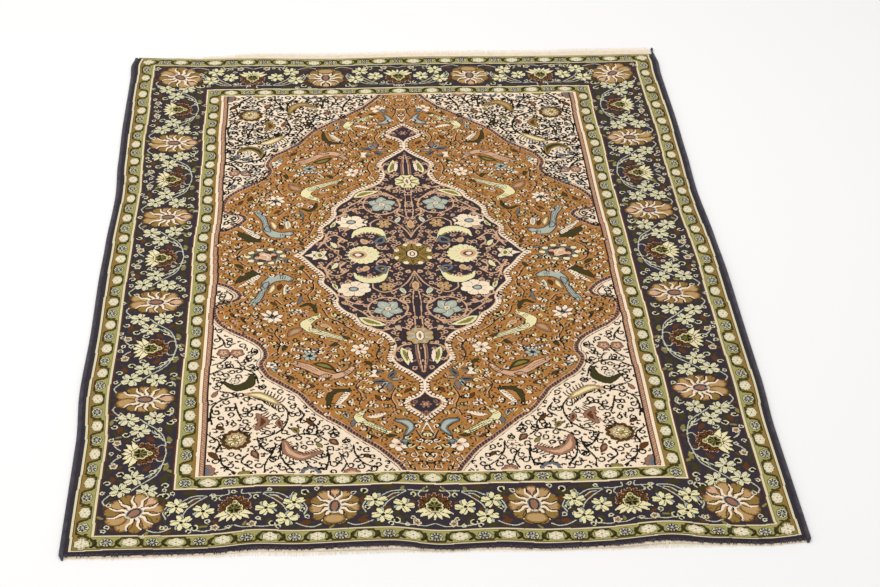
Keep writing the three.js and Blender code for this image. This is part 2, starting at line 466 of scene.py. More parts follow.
# The tan palmette: a ring of broad petals, flame-like rays between them and an eyed heart
def tanPalmette(frame, along, across):
    def reach(turn):
        return 1 / np.hypot(np.cos(np.radians(turn)) / across, np.sin(np.radians(turn)) / along)
    petals, mound = 11, across < 1.1 * along
    fill(frame, lobed(1, petals, 0.12, start=90) * (along * 0.9, across * 0.9), (0, "rust"))
    for i in range(petals):
        turn = 360 * i / petals
        wool = "rose" if i == 0 else ("ochre", "tan")[min(i, petals - i) % 2]
        petal = turned(frame, 90 + turn)
        long, wide = reach(turn), 6.2 * np.sqrt(along * across) / petals
        fill(petal, oval(long * 0.64, 0, long * 0.7, wide), (1.8, "rust"), (0, "ochre"), (-3.4, wool))
        stroke(petal, [(long * 0.86, 0), (long * 1.02, 0)], (1, 2.6), (0, "rust"))
    for turn in (17, 50, 84, 117, 150):
        for flip in (-1, 1):
            ray = within(frame, 0, 0, 90 + flip * turn, 1, flip)
            long = reach(turn)
            path = smooth([(long * 0.22, 0), (long * 0.42, -3), (long * 0.64, 2.5), (long * 0.88, -1.5)])
            stroke(ray, path - (0, 2.6), (7, 3), (0, "black"))
            stroke(ray, path, (7.5, 2.6), (0, "ivory"))
    if mound:
        low = oval(0, -across * 0.66, along * 0.86, across * 0.52)
        fill(frame, low, (2, "black"), (0, "ochre"), (-3.4, "tan"))
    heart = within(frame, 0, 1)
    fill(heart, oval(0, 0, 25, 36), (1.6, "ivory"), (0, "slate"), (-2.6, "black"), (-5, "mauve"))
    fill(heart, oval(0, -16, 8, 5), (0, "sky"))


# The green palmette: a fan of petals outwards, a serrated crown inwards and a green heart
def greenPalmette(frame):
    for turn in range(-20, 201, 22):
        away = 33 + 6 * np.sin(np.radians(turn))
        petal = turned(frame, turn)
        fill(petal, oval(away * 0.66, 0, away * 0.7, 13), (1.6, "black"), (0.2, "rose"), (-0.8, "rust"))
    fill(frame, oval(0, 2, 46, 48), (0, "rust"))
    for turn in (-12, 13, 35, 57, 79, 101, 123, 145, 167, 192):
        stroke(turned(frame, turn), [(14, 0), (29, 0)], (1, 2.6), (0, "black"))
    for turn in (-90, -68, -112, -46, -134, -26, -154):
        long = 42 if abs(turn + 90) > 30 else 36
        petal = within(frame, 0, -3, turn)
        fill(petal, almond(long, 12.5, 1.0 if turn > -90 else -1.0), (1.4, "black"), (0, "straw"))
        stroke(petal, [(12, 0), (long * 0.72, 0)], (1.4, 2.4), (0, "ivory"))
    fill(frame, lobed(18, 8, 0.16, start=22), (1.8, "black"), (0, "straw"), (-2.2, "moss"), (-4.8, "black"))
    for turn in (90, 0, 180, -90, 45, 135):
        stroke(turned(frame, turn), [(2, 0), (9, 0)], (1.4, 2.8), (0, "moss"))
    fill(frame, oval(0, 19, 12, 12), (1.4, "black"), (0, "straw"), (-1.8, "moss"))


def bud(frame, size):
    coats = [(0.8, "black"), (0, "pale"), (-2.4 * size, "mauve"), (-5.2 * size, "rust")]
    fill(within(frame, 0, 0, 0, size), lobed(8.5, 5, 0.28), *coats)


# An open ring-shaped curl round a dark heart
def curl(frame, radius, hand, wool="pale", width=2.9):
    turn = np.radians(np.linspace(-80, 205, 14)) * hand
    reach = radius * np.linspace(1.25, 0.62, 14)
    dot(frame, 0, 0, radius * 0.8, (0, "black"))
    ring = np.stack([reach * np.cos(turn), reach * np.sin(turn)], 1)
    stroke(frame, ring, (width * 0.8, width), (0, wool))


# What fills the border between a tan palmette, at the frame, and the next green one. Flowers are x, y and
# turn, leaves are x, y, turn, length, width and wool, curls are x, y, radius and hand, buds are x, y and size
sideFilling = dict(
    petals=("pale", "straw"),
    flowers=[(67, -31, 20), (63, 21, 50), (102, -7, 5)],
    vines=[
        [(24, -57), (36, -62), (48, -55), (58, -46)],
        [(62, -12), (80, 5), (97, 24), (113, 39), (137, 47), (173, 53)], [(98, 10), (109, 22), (121, 38)],
        [(136, -50), (146, -56), (156, -50), (163, -42)], [(104, 24), (118, 32), (134, 44)],
        [(40, 60), (50, 58), (56, 52)], [(138, 47), (140, 56)], [(128, 42), (124, 33)],
        [(150, 50), (148, 40), (154, 34)],
    ],
    leaves=[
        (84, 46, 20, 32, 15, "olive"), (88, -47, -10, 24, 12, "rust"), (104, -42, 20, 26, 12, "olive"),
        (36, 44, 60, 26, 14, "olive"), (28, -50, 200, 20, 11, "rust"), (40, -6, 95, 24, 13, "olive"),
        (120, 8, 40, 26, 11, "rust"), (120, 52, 10, 26, 10, "moss"),
    ],
    curls=[
        (46, 50, 6.5, 1), (114, -35, 6.5, -1), (117, 30, 5, 1), (88, -57, 5.5, 1), (128, -14, 5.5, -1),
        (78, 56, 6, 1),
    ],
    buds=[(139, -51, 1.1)],
)
endFilling = dict(
    petals=("straw", "sky"),
    flowers=[(79, 14, 10), (92, -31, 35), (131, -2, 0)],
    vines=[
        [(26, -50), (40, -57), (58, -54), (73, -45)], [(88, 26), (104, 38), (118, 42), (136, 42)],
        [(92, -12), (100, 6), (118, 25), (137, 40)], [(178, 56), (178, 44), (160, 43), (142, 44)],
        [(121, -54), (135, -57), (150, -56), (172, -56), (190, -48)], [(100, 22), (112, 33), (124, 36)],
        [(60, -20), (54, -4), (60, 12)], [(166, 44), (160, 34), (164, 26)],
    ],
    leaves=[
        (88, 50, 0, 34, 13, "olive"), (44, -42, -20, 26, 13, "rust"), (122, -30, -80, 28, 12, "olive"),
        (72, -50, -10, 26, 11, "olive"), (42, 40, -30, 30, 14, "olive"), (106, 12, 60, 24, 11, "rust"),
        (150, 22, 70, 24, 11, "olive"), (52, 6, 80, 22, 10, "rust"),
    ],
    curls=[(57, 45, 7, 1), (117, -48, 6.5, -1), (150, 33, 5, 1), (106, -55, 5, 1), (62, -6, 5, 1)],
    buds=[(156, -49, 1.1)],
)


def fillBorder(frame, filling):
    for x, y, turn, long, wide, wool in filling["leaves"]:
        fill(within(frame, x, y, turn), almond(long, wide, 1.5), (0, wool))
    for vine in filling["vines"]:
        stroke(frame, smooth(vine), 2.5, (0, "sky"), (-0.7, "pale"))
    for x, y, radius, hand in filling["curls"]:
        curl(within(frame, x, y), radius, hand)
    for x, y, size in filling["buds"]:
        bud(within(frame, x, y), size)
    for x, y, turn in filling["flowers"]:
        blossom(within(frame, x, y, turn), 21, 5, *filling["petals"])


# A run of the border from a middle of the rug: its repeats, then the half repeat before the corner
def borderRun(frame, filling, half, repeats, palmette):
    for i in range(repeats):
        at = i * 2 * half
        for step in (-1, 1):
            fillBorder(within(frame, at + half, 0, 0 if step > 0 else 180, 1, step), filling)
        greenPalmette(within(frame, at, 0))
        tanPalmette(within(frame, at + half, 0), *palmette)
    last = within(frame, repeats * 2 * half, 0)
    fillBorder(within(last, half, 0, 180, 1, -1), filling)
    greenPalmette(last)


def mainBorders():
    m = mainBorder
    for end in (-1, 1):
        borderRun(frameAt(m["side"], 0, (0, end), (-1, 0)), sideFilling, **m["sideRun"])
        borderRun(frameAt(0, end * m["end"], (1, 0), (0, -end)), endFilling, **m["endRun"])
        x, y = np.add((m["side"], m["end"]), m["cornerIn"])
        tanPalmette(frameAt(x, end * y, (0.7, -0.7 * end), (-0.7, -0.7 * end)), *m["cornerPalmette"])


# What is left of the border's navy, as the low and the high corner of the side and of both ends
borderGrounds = [((508, -920), (641, 920)), ((2, 803), (641, 920)), ((2, -920), (641, -803))]


# Soft brown and green leaves and a few more pale curls
def borderLeaves():
    rng = np.random.default_rng(17)
    def leaves(spot):
        wool = rng.choice(["olive", "olive", "rust", "moss", "olive"])
        fill(spun(rng, spot), oval(0, 0, rng.uniform(12, 18), rng.uniform(5, 8)), (0, wool))
    def curls(spot):
        tendril(spun(rng, spot, 4), rng.uniform(20, 27), rng.choice((-1, 1)), 2.5, "pale")
    for low, high in borderGrounds:
        scatter(rng, curls, 5.6, 15, low, high, "navy")
        scatter(rng, leaves, 4.2, 13, low, high, "navy")


# Half outlines of the field's parts for one quarter, as distances from the rug's middle in mm
medallionEdge = [
    (0, 612), (20, 592), (40, 570), (48, 548), (40, 532), (22, 522), (12, 508), (11, 490), (14, 476),
    (40, 446), (62, 422), (72, 398), (67, 372), (66, 343), (80, 317), (108, 299), (135, 276), (147, 250),
    (171, 226), (186, 198), (187, 168), (199, 144), (218, 114), (216, 82), (234, 56), (256, 20), (272, 0),
]
spandrelEdge = [
    (446, 98), (418, 113), (392, 139), (382, 162), (397, 183), (429, 193), (438, 215), (427, 251),
    (403, 281), (371, 306), (346, 328), (329, 355), (326, 383), (333, 410), (318, 444), (291, 470),
    (256, 504), (234, 540), (212, 573), (168, 612), (129, 651), (93, 685), (66, 722), (48, 752), (44, 768),
]


# A tapering form along a smooth line: girths run from its start to its end
def limb(frame, points, girths, *coats):
    path = smooth(points, steps=4)
    widths = np.interp(np.linspace(0, 1, len(path)), np.linspace(0, 1, len(girths)), girths)
    knotIn(frame, path, coats, widths)
    return path


# A leaf between two points, dark at its rim
def leaf(frame, ax, ay, bx, by, wide, bend, wool, heart=None):
    spot = within(frame, ax, ay, np.degrees(np.arctan2(by - ay, bx - ax)))
    coats = [(1.3, "black"), (0, wool)] + ([(-0.24 * wide, heart)] if heart else [])
    fill(spot, almond(np.hypot(bx - ax, by - ay), wide, bend), *coats)


# Curved strokes that stand off a line at one side, like the teeth of a comb
def teeth(frame, points, pitch, reach, width, wool, turn, start=3.0):
    for x, y, heading in stations(smooth(points), pitch, start):
        tooth = within(frame, x, y, heading + turn)
        bow = [(0, 0), (reach * 0.6, reach * 0.05), (reach, reach * 0.3)]
        stroke(tooth, bow, (width, width * 0.8), (0, wool))


# A tendril: a stem that curls round into an open hook with a heavier tip
def tendril(frame, length, hand, width, wool):
    radius, stem = 0.2 * length, 0.26 * length
    turn = np.radians(-90 + np.linspace(0, 262, 10))
    shrink = radius * np.linspace(1.05, 0.6, 10)
    ring = np.stack([stem + shrink * np.cos(turn), hand * (radius + shrink * np.sin(turn))], 1)
    stroke(frame, np.vstack([[0, 0.1 * hand * length], ring]), (width * 0.8, width), (0, wool))
    dot(frame, *ring[-1], width * 0.62, (0, wool))


# A small open flower with a ring round its heart
def daisy(frame, x, y, radius, petals, turn, wool, heart, eye="black"):
    frame = within(frame, x, y, turn)
    for petal in around(frame, petals):
        fill(petal, oval(radius * 0.6, 0, radius * 0.84, radius * 3.7 / petals), (1.5, "black"), (0, wool))
    dot(frame, 0, 0, radius * 0.34, (0.8, wool), (0, heart))
    dot(frame, 0, 0, radius * 0.15, (0, eye))


def isFree(x, y, room, ground):
    columns = slice(*np.searchsorted(chart["x"], (x - room, x + room)))
    rows = slice(*np.searchsorted(chart["y"], (y - room, y + room)))
    part = chart["grid"][rows, columns]
    return part.size > 0 and (part == woolNumber[ground]).all()


# A spot's frame, set back a little and turned at random
def spun(rng, spot, back=0):
    return within(spot, 0, -back, rng.uniform(0, 360))


# Fills what is left of a ground with small ornaments, about a pitch apart and with room round them
def scatter(rng, draw, room, pitch, low, high, ground):
    for row, y in enumerate(np.arange(low[1], high[1], pitch * 0.9)):
        for x in np.arange(low[0] + (row % 2) * pitch / 2, high[0], pitch):
            spot = rng.uniform(-0.22, 0.22, 2) * pitch + (x, y)
            if isFree(spot[0], spot[1], room, ground):
                draw(frameAt(*spot))


# The smallest ornament of the copper ground: a light hook with a dark shadow at one side
def sprig(frame, length, hand, dark, light):
    path = hook(length, 0.72, hand, 9)
    stroke(frame, path + (0, 1.9 * hand), (5.2, 7.4), (0, dark))
    stroke(frame, path - (0, 0.9 * hand), (2.2, 3.0), (0, light))
    dot(frame, path[-1, 0], path[-1, 1] - 0.9 * hand, 2.2, (0, light))


# A bird from head to tail: barred wing, banded neck, striped tail, eye and beak
def bird(frame, spine, girths, body, edge, stripe, beak):
    path = limb(frame, spine, girths, (1.8, "black"), (0, edge), (-1.4, body))
    tailward = path[int(len(path) * 0.62):]
    heading = np.degrees(np.arctan2(*(tailward[-1] - tailward[0])[::-1]))
    for side in (-2.6, 2.6):
        offset = np.array([-np.sin(np.radians(heading)), np.cos(np.radians(heading))]) * side
        stroke(frame, tailward + offset, (1.6, 2.4), (0, stripe))
    neck = stations(path[int(len(path) * 0.12):int(len(path) * 0.3)], 5, 1)
    for x, y, turn in neck:
        stroke(within(frame, x, y, turn), [(0, -5), (0, 5)], 1.7, (0, "black"))
    places = stations(path, 4)
    x, y, turn = places[int(len(places) * 0.4)]
    wing = within(frame, x, y, turn + 22)
    fill(wing, almond(30, 13, -3), (1.5, "black"), (0, edge), (-1.6, body))
    for bar in range(6, 27, 5):
        stroke(wing, [(bar, -4.5), (bar + 3, 3)], 1.7, (0, stripe))
    for side in (-1, 1):
        tip = within(frame, path[-1, 0], path[-1, 1], heading + 24 * side)
        fill(tip, almond(14, 6), (1.4, "black"), (0, body))
    stroke(frame, [spine[0], beak], (5, 1.5), (1, "black"), (0, edge))
    dot(frame, spine[0][0], spine[0][1], 2.6, (0, "ivory"), (-1.2, "black"))


birds = [
    dict(spine=[(281, 95), (297, 87), (318, 90), (334, 110), (340, 138), (346, 162), (358, 186)],
         girths=[14, 22, 26, 20, 11, 14, 17], body="sky", edge="slate", stripe="slate", beak=(274, 108)),
    dict(spine=[(218, 240), (233, 249), (246, 265), (238, 284), (214, 300), (190, 312), (167, 323)],
         girths=[11, 16, 24, 22, 15, 12, 11], body="straw", edge="straw", stripe="slate", beak=(214, 226)),
    dict(spine=[(146, 427), (160, 445), (186, 457), (214, 446), (238, 426), (262, 412)],
         girths=[12, 14, 20, 18, 20, 17], body="rose", edge="mauve", stripe="mauve", beak=(137, 436)),
    dict(spine=[(132, 577), (141, 590), (134, 606), (112, 620), (84, 641)],
         girths=[10, 17, 18, 11, 11], body="straw", edge="straw", stripe="olive", beak=(124, 566)),
]

# Leaves of the copper ground: from, to, width, bend, wool and the heart that some have
copperLeaves = [
    (346, 62, 405, 110, 24, -9, "olive"), (346, 70, 398, 126, 15, 2, "ivory"),
    (316, 112, 329, 152, 13, 2, "tan", "straw"), (301, 112, 306, 136, 11, 0, "rust"),
    (288, 112, 294, 156, 13, 2, "ivory", "sky"), (254, 158, 262, 192, 8, 2, "slate"),
    (255, 281, 286, 314, 22, -3, "mauve", "tan"), (216, 269, 190, 284, 14, 2, "rose", "tan"),
    (229, 412, 182, 437, 18, 5, "olive", "moss"), (152, 505, 189, 563, 14, -2, "ivory"),
    (168, 574, 162, 596, 11, 0, "sky", "navy"), (150, 600, 154, 622, 9, 0, "slate"),
    (124, 592, 80, 578, 13, -3, "ivory"), (84, 652, 62, 654, 9, -2, "olive"),
    (107, 446, 82, 438, 12, 2, "slate", "navy"), (74, 462, 56, 440, 12, 0, "slate", "navy"),
    (70, 470, 42, 468, 12, 2, "slate", "tan"), (76, 474, 112, 476, 13, 0, "slate", "navy"),
    (76, 476, 90, 498, 11, 0, "sky", "navy"), (70, 478, 74, 510, 12, 0, "slate", "mauve"),
    (408, 30, 388, 50, 10, 2, "olive"), (250, 40, 262, 66, 9, 0, "olive"),
    (384, 238, 376, 262, 10, 2, "olive", "rust"), (408, 222, 396, 240, 9, 0, "rust"),
    (180, 336, 196, 352, 10, 2, "olive"), (152, 324, 168, 312, 9, 2, "olive", "rust"),
    (288, 338, 296, 366, 9, 0, "olive"), (104, 520, 92, 540, 9, 0, "rust"),
    (226, 492, 244, 480, 10, 2, "rust"), (120, 404, 104, 420, 10, 2, "olive"),
    (308, 196, 322, 182, 8, 0, "rust"), (30, 500, 44, 516, 9, 0, "rust"),
    (282, 452, 268, 466, 10, 0, "olive", "rust"), (100, 660, 112, 650, 8, 0, "rust"),
]
# Flowers of the copper ground: x, y, radius, petals, turn, wool and heart
copperFlowers = [
    (288, 20, 9, 5, 0, "slate", "rose"), (260, 219, 10, 6, 0, "ivory", "slate"),
    (243, 220, 7, 4, 0, "rose", "copper"), (131, 362, 20, 6, 12, "ivory", "rose"),
    (317, 411, 13, 5, 30, "ivory", "slate"), (309, 428, 8, 4, 0, "sky", "navy"),
    (237, 384, 16, 6, 0, "sky", "navy"), (59, 682, 20, 5, 15, "ivory", "rose"),
    (46, 672, 9, 4, 0, "slate", "sky"), (186, 366, 7, 5, 0, "ivory", "rust"),
    (104, 556, 7, 5, 0, "ivory", "rust"), (422, 60, 7, 5, 0, "ivory", "rust"),
]
# Vines of the copper ground
copperVines = [
    [(270, 41), (249, 62), (231, 101), (226, 131), (237, 156), (232, 180)],
    [(404, -2), (391, 26), (372, 40), (360, 60)],
    [(206, 210), (196, 240), (170, 262), (150, 286), (120, 310)], [(420, 138), (404, 160), (410, 184)],
    [(300, 268), (312, 300), (300, 330), (306, 372)], [(96, 336), (86, 356), (92, 384), (86, 410)],
    [(128, 470), (140, 492), (130, 520), (136, 548)], [(60, 498), (70, 530), (62, 560), (72, 590)],
    [(214, 336), (190, 330), (170, 350), (160, 380)], [(20, 640), (12, 668), (22, 700)],
    [(338, 168), (312, 170), (296, 190)],
]


# A flower of broad petals, half light and half dark, that opens like a tulip
def tulip(frame, size, light, dark):
    lengths = {0: 1.0, 34: 0.94, -40: 0.9, 80: 0.7, -84: 0.72, 180: 0.62, 132: 0.6, -138: 0.66}
    for turn, long in lengths.items():
        petal = turned(frame, turn)
        fill(petal, almond(size * long, size * 0.36), (1.5, "black"), (0, light))
    for turn in (17, -20, 57, -62):
        stroke(turned(frame, turn), [(3, 0), (size * 0.66, 0)], (5, 2), (0, dark))
    dot(frame, 0, 0, 4.5, (0, dark), (-2.2, "tan"))


def copperQuarter(frame):
    for vine in copperVines:
        path = smooth(vine)
        stroke(frame, path + (1.3, 0.4), 4.4, (0, "black"))
        stroke(frame, path - (0.6, 0), 1.9, (0, "rose"))
    for row in birds:
        bird(frame, **row)
    for row in copperLeaves:
        leaf(frame, *row)
    for row in copperFlowers:
        daisy(frame, *row)
    teeth(frame, [(352, 78), (374, 96), (392, 118)], 7, 9, 2.0, "black", 78)
    teeth(frame, [(152, 510), (168, 528), (185, 556)], 6.5, 8, 2.0, "black", -80)
    teeth(frame, [(118, 590), (100, 586), (84, 580)], 6.5, 6, 1.8, "black", 70)
    limb(frame, [(255, 200), (238, 191), (225, 206), (222, 224)], [5, 9, 9, 4], (1.3, "black"), (0, "olive"))
    stem = [(154, 505), (186, 508), (199, 532), (201, 564)]
    limb(frame, stem, [5, 13, 12, 4], (1.3, "black"), (0, "olive"))
    crook = [(62, 606), (44, 612), (33, 631), (44, 653)]
    limb(frame, crook, [10, 19, 17, 7], (1.6, "black"), (0, "slate"), (-4, "sky"))
    tulip(within(frame, 317, 243, -70), 35, "ivory", "navy")
    bow = [(276, 353), (258, 366), (240, 369), (222, 366), (208, 353)]
    limb(frame, bow, [3, 6, 6, 6, 3], (1.4, "black"), (0, "ivory"))
    teeth(frame, [(268, 356), (240, 362), (216, 356)], 7.5, 9, 4.6, "slate", -90)
    teeth(frame, [(264, 357), (240, 363), (220, 357)], 7.5, 8, 2.4, "navy", -84, 6.5)
    vase = [(95, 434), (111, 434), (107, 446), (113, 458), (93, 458), (99, 446)]
    fill(frame, vase, (1.3, "black"), (0, "ivory"))
    for x in (270, 235):
        fill(frame, oval(x, 327, 9, 15), (1.2, "black"), (0, "olive"), (-2.6, "tan"))
    fill(within(frame, 86, 333, 60), oval(0, 0, 28, 15), (0, "black"), (-1.8, "ivory"), (-3.6, "copper"))
    for x, y, hand in ((20, 738, 1), (40, 734, -1), (24, 704, -1), (64, 716, 1)):
        path = within(frame, x, y, 90)
        tendril(within(path, 0, 1.4 * hand), 38, hand, 4.2, "black")
        tendril(path, 38, hand, 2.0, "ivory")
    for side in (-1, 1):
        frond = smooth([(0, 614), (7 * side, 634), (13 * side, 650)])
        stroke(frame, frond, (3.4, 2), (1.2, "black"), (0, "ivory"))


# Places at even turns on an oval, given by its half sizes
def ringOf(count, across, high, start=0):
    turn = 2 * np.pi * (np.arange(count) + start) / count
    return zip(across * np.cos(turn), high * np.sin(turn))


# The oval flower at the side of the field
def sideRosette(frame):
    fill(frame, lobed(1, 10, 0.1) * (40, 30), (2.0, "navy"), (0, "slate"))
    for x, y in ringOf(10, 40, 29):
        fill(frame, oval(x, y, 15, 12), (1.8, "black"), (0, "straw"), (-3.5, "ivory"))
    fill(frame, oval(0, 0, 58, 42), (0, "rust"))
    for i, (x, y) in enumerate(ringOf(8, 19, 13, 0.5)):
        fill(frame, oval(x, y, 15, 12), (1, "black"), (0, "rose" if i % 2 else "rust"))
    fill(frame, oval(0, 0, 24, 21), (1.8, "ivory"), (0, "rose"))
    stroke(frame, [(-7, -4), (-3, 5), (5, 6)], 3.4, (0, "ivory"))


# The star at the middle of the rug
def middleStar():
    frame = frameAt(0, 0)
    fill(frame, lobed(45, 16, 0.1, start=11), (2.4, "navy"), (0, "ochre"))
    for spoke in around(frame, 8):
        dot(turned(spoke, 22.5), 40, 0, 6.6, (1.2, "black"), (0, "straw"), (-2.5, "ivory"))
        fill(spoke, [(6, -13), (32, -11), (48, 0), (32, 11), (6, 13)], (1.2, "olive"), (0, "ochre"))
        stroke(spoke, [(18, -3), (40, 0), (18, 3)], 2.0, (0, "olive"))
    fill(frame, oval(0, 0, 24, 29), (3, "black"), (0, "ivory"), (-5, "rust"), (-8, "ivory"))


# A round flower whose petals open from a heart at one side
def fanFlower(frame, radius):
    petals = 15
    fill(frame, lobed(radius, petals, 0.1), (2.2, "black"), (0, "straw"))
    for petal in around(within(frame, 10, 0), petals):
        stroke(petal, [(radius * 0.42, 0), (radius * 0.86, 0)], (1.2, 2.4), (0, "ivory"))
        stroke(turned(petal, 12), [(radius * 0.6, 0), (radius * 0.8, 0)], 1.2, (0, "tan"))
    fill(frame, oval(13, 0, 36, 30), (1.2, "tan"), (0, "rose"), (-5, "rust"))
    fill(frame, oval(14, 0, 14, 13), (1, "black"), (0, "ivory"))


# A vine with curls along it, alternately to each side
def scrollVine(frame, points, wool, width, curlLength, pitch, rng, open=26):
    path = smooth(points)
    stroke(frame, path, width, (0, wool))
    for i, (x, y, turn) in enumerate(stations(path, pitch, pitch * 0.5)):
        hand = 1 if i % 2 else -1
        spot = within(frame, x, y, turn + hand * open)
        tendril(spot, curlLength * rng.uniform(0.85, 1.15), hand, width * 0.95, wool)


# Part of a circle, from a first turn through a sweep, in degrees
def arc(x, y, radius, start, sweep):
    turns = np.radians(start + np.linspace(0, sweep, 9))
    return [(x + radius * np.cos(turn), y + radius * np.sin(turn)) for turn in turns]


# What grows in a quarter of the medallion, its leaves written as those of the copper ground
medallionVines = [
    arc(65, 217, 44, -150, 300), arc(118, 152, 46, -30, 120), arc(170, 130, 34, 90, 150),
    [(14, 300), (44, 286), (80, 296), (112, 280)], [(150, 60), (176, 84), (200, 66), (190, 30), (170, 20)],
    [(50, 70), (84, 40), (70, 20), (60, 36)], [(150, 110), (166, 130), (172, 160), (150, 176)],
    [(20, 346), (40, 352), (58, 376), (52, 404)],
    [(36, 250), (60, 268), (100, 252), (124, 226), (150, 200)],
    [(14, 160), (30, 180), (20, 210), (28, 236)], [(156, 30), (170, 50), (160, 70)],
    [(216, 30), (206, 50), (190, 100)],
]
medallionLeaves = [
    (88, 46, 66, 78, 26, 6, "slate", "navy"), (108, 44, 118, 68, 17, 2, "rose", "tan"),
    (174, 30, 188, 56, 12, 2, "straw", "pale"), (34, 134, 24, 160, 12, 0, "pale", "sky"),
    (130, 248, 70, 278, 23, -5, "straw", "moss"), (42, 358, 30, 422, 19, 3, "straw", "moss"),
    (26, 366, 22, 416, 9, 0, "ivory"), (168, 186, 150, 200, 9, 0, "rose", "tan"),
    (186, 116, 176, 142, 10, 2, "straw", "moss"), (52, 280, 38, 300, 12, 0, "rose", "sky"),
]


def medallionQuarter(frame, far, rng):
    # the axis: a dark stem between two rose lines, and the pointed arch round its bulb
    for side, wool in ((6, "rose"), (11, "mauve")):
        stroke(frame, [(side, 350), (side, 400), (side * 0.3, 448)], 2.8, (0, wool))
    stroke(frame, smooth([(6, 150), (9, 190), (7, 240), (9, 284)]), 2.8, (0, "rose"))
    arch = [(0, 70), (10, 96), (22, 118), (44, 142), (72, 152), (94, 136), (96, 116)]
    stroke(frame, smooth(arch), 3.2, (0, "rose"))
    stroke(frame, smooth([(0, 80), (5, 104), (12, 122)]), 2.4, (0, "tan"))
    for points in medallionVines:
        scrollVine(frame, points, "rose", 3.5, 25, 22, rng)
    leaf(frame, 0, 108, 0, 148, 17, 0, "rose", "tan")
    daisy(frame, 64, 130, 18, 6, 0, "tan", "rose", "rust")
    fanFlower(within(frame, 113, 0), 37)
    bloom = within(frame, 213, 0)
    for turn in (-48, 48, 132, 228):
        fill(turned(bloom, turn), almond(24, 15), (1.4, "black"), (0, "ivory"))
    fill(bloom, oval(0, 0, 20, 26), (1.2, "black"), (0, "straw"), (-5, "olive"), (-7, "moss"))
    fill(bloom, [(16, -9), (36, 0), (16, 9)], (1.2, "black"), (0, "ivory"))
    rosette = within(frame, 137, 138, 10)
    fill(rosette, lobed(1, 7, 0.2) * (39, 30), (1.8, "black"), (0, "ivory"))
    for petal in around(rosette, 7):
        stroke(turned(petal, 180 / 7), [(14, 0), (25, 0)], 1.6, (0, "tan"))
        dot(petal, 22, 0, 3.6, (0, "straw"))
    fill(frame, oval(139, 138, 21, 16), (1.3, "navy"), (0, "slate"), (-3, "sky"))
    path = [(138, 74), (128, 94), (104, 104), (78, 96), (60, 60)]
    limb(frame, path, [4, 15, 24, 24, 5], (1.6, "black"), (0, "straw"))
    stroke(frame, smooth([(130, 82), (108, 92), (84, 88), (66, 70)]), 5, (0, "moss"))
    teeth(frame, [(130, 84), (106, 90), (84, 86)], 7, 6, 2.6, "ivory", -90)
    for row in medallionLeaves:
        leaf(frame, *row)
    star = within(frame, 65, 216, 18)
    for petal in around(star, 5):
        fill(petal, almond(34, 27), (1.6, "navy"), (0, "sky"))
        stroke(petal, [(8, 0), (22, 0)], (1.5, 2.5), (0, "pale"))
    dot(star, 0, 0, 6.5, (1.4, "slate"), (0, "ivory"), (-3, "tan"))
    flower = within(frame, 0, 318)
    petal, heart = ("straw", "moss") if far else ("tan", "sky")
    fill(flower, lobed(31, 8, 0.16, start=22), (2.2, "black"), (0, petal))
    for ray in around(flower, 8, 22):
        stroke(ray, [(12, 0), (27, 0)], (6.5, 3.5), (0, heart))
    fill(flower, oval(0, 0, 17, 34), (1.6, "black"), (0, "ivory"), (-5.5, "ochre"))
    # the pendant beyond the neck
    daisy(frame, 0, 556, 12, 6, 0, "mauve", "rose")
    for x, y, turn in ((18, 540, 30), (28, 556, -60), (10, 580, 80)):
        tendril(within(frame, x, y, turn), 24, 1, 2.8, "mauve")


# What is left of the medallion's navy
medallionGround = dict(low=(2, -600), high=(272, 600), ground="navy")


def medallion(rng):
    quarter = smooth(medallionEdge, steps=4)
    right = np.vstack([quarter, (quarter * (1, -1))[::-1]])
    whole = np.vstack([right, (right * (-1, 1))[::-1]])
    fill(
        frameAt(0, 0), whole, (1.4, "black"), (-0.4, "rust"), (-7, "black"), (-8, "ivory"), (-11.8, "rose"),
        (-13.6, "black"), (-15, "navy"),
    )
    for end in (-1, 1):
        frame = frameAt(0, 0, (1, 0), (0, end))
        for x, y, turn in stations(quarter, 8.6, 3):
            stroke(within(frame, x, y, turn), [(0, -2.8), (0, -5.4)], 5.6, (0, "ivory"))
        medallionQuarter(frame, end > 0, rng)
    middleStar()
    def curls(spot):
        hand = rng.choice((-1, 1))
        tendril(spun(rng, spot, 4), rng.uniform(24, 31), hand, 3.0, "rose")
    scatter(rng, curls, 5.4, 14.0, **medallionGround)
    def specks(spot):
        leaf(spun(rng, spot), -4, 0, 5, 0, 5, 0, rng.choice(["tan", "mauve", "rust"]))
    scatter(rng, specks, 3.6, 12.0, **medallionGround)


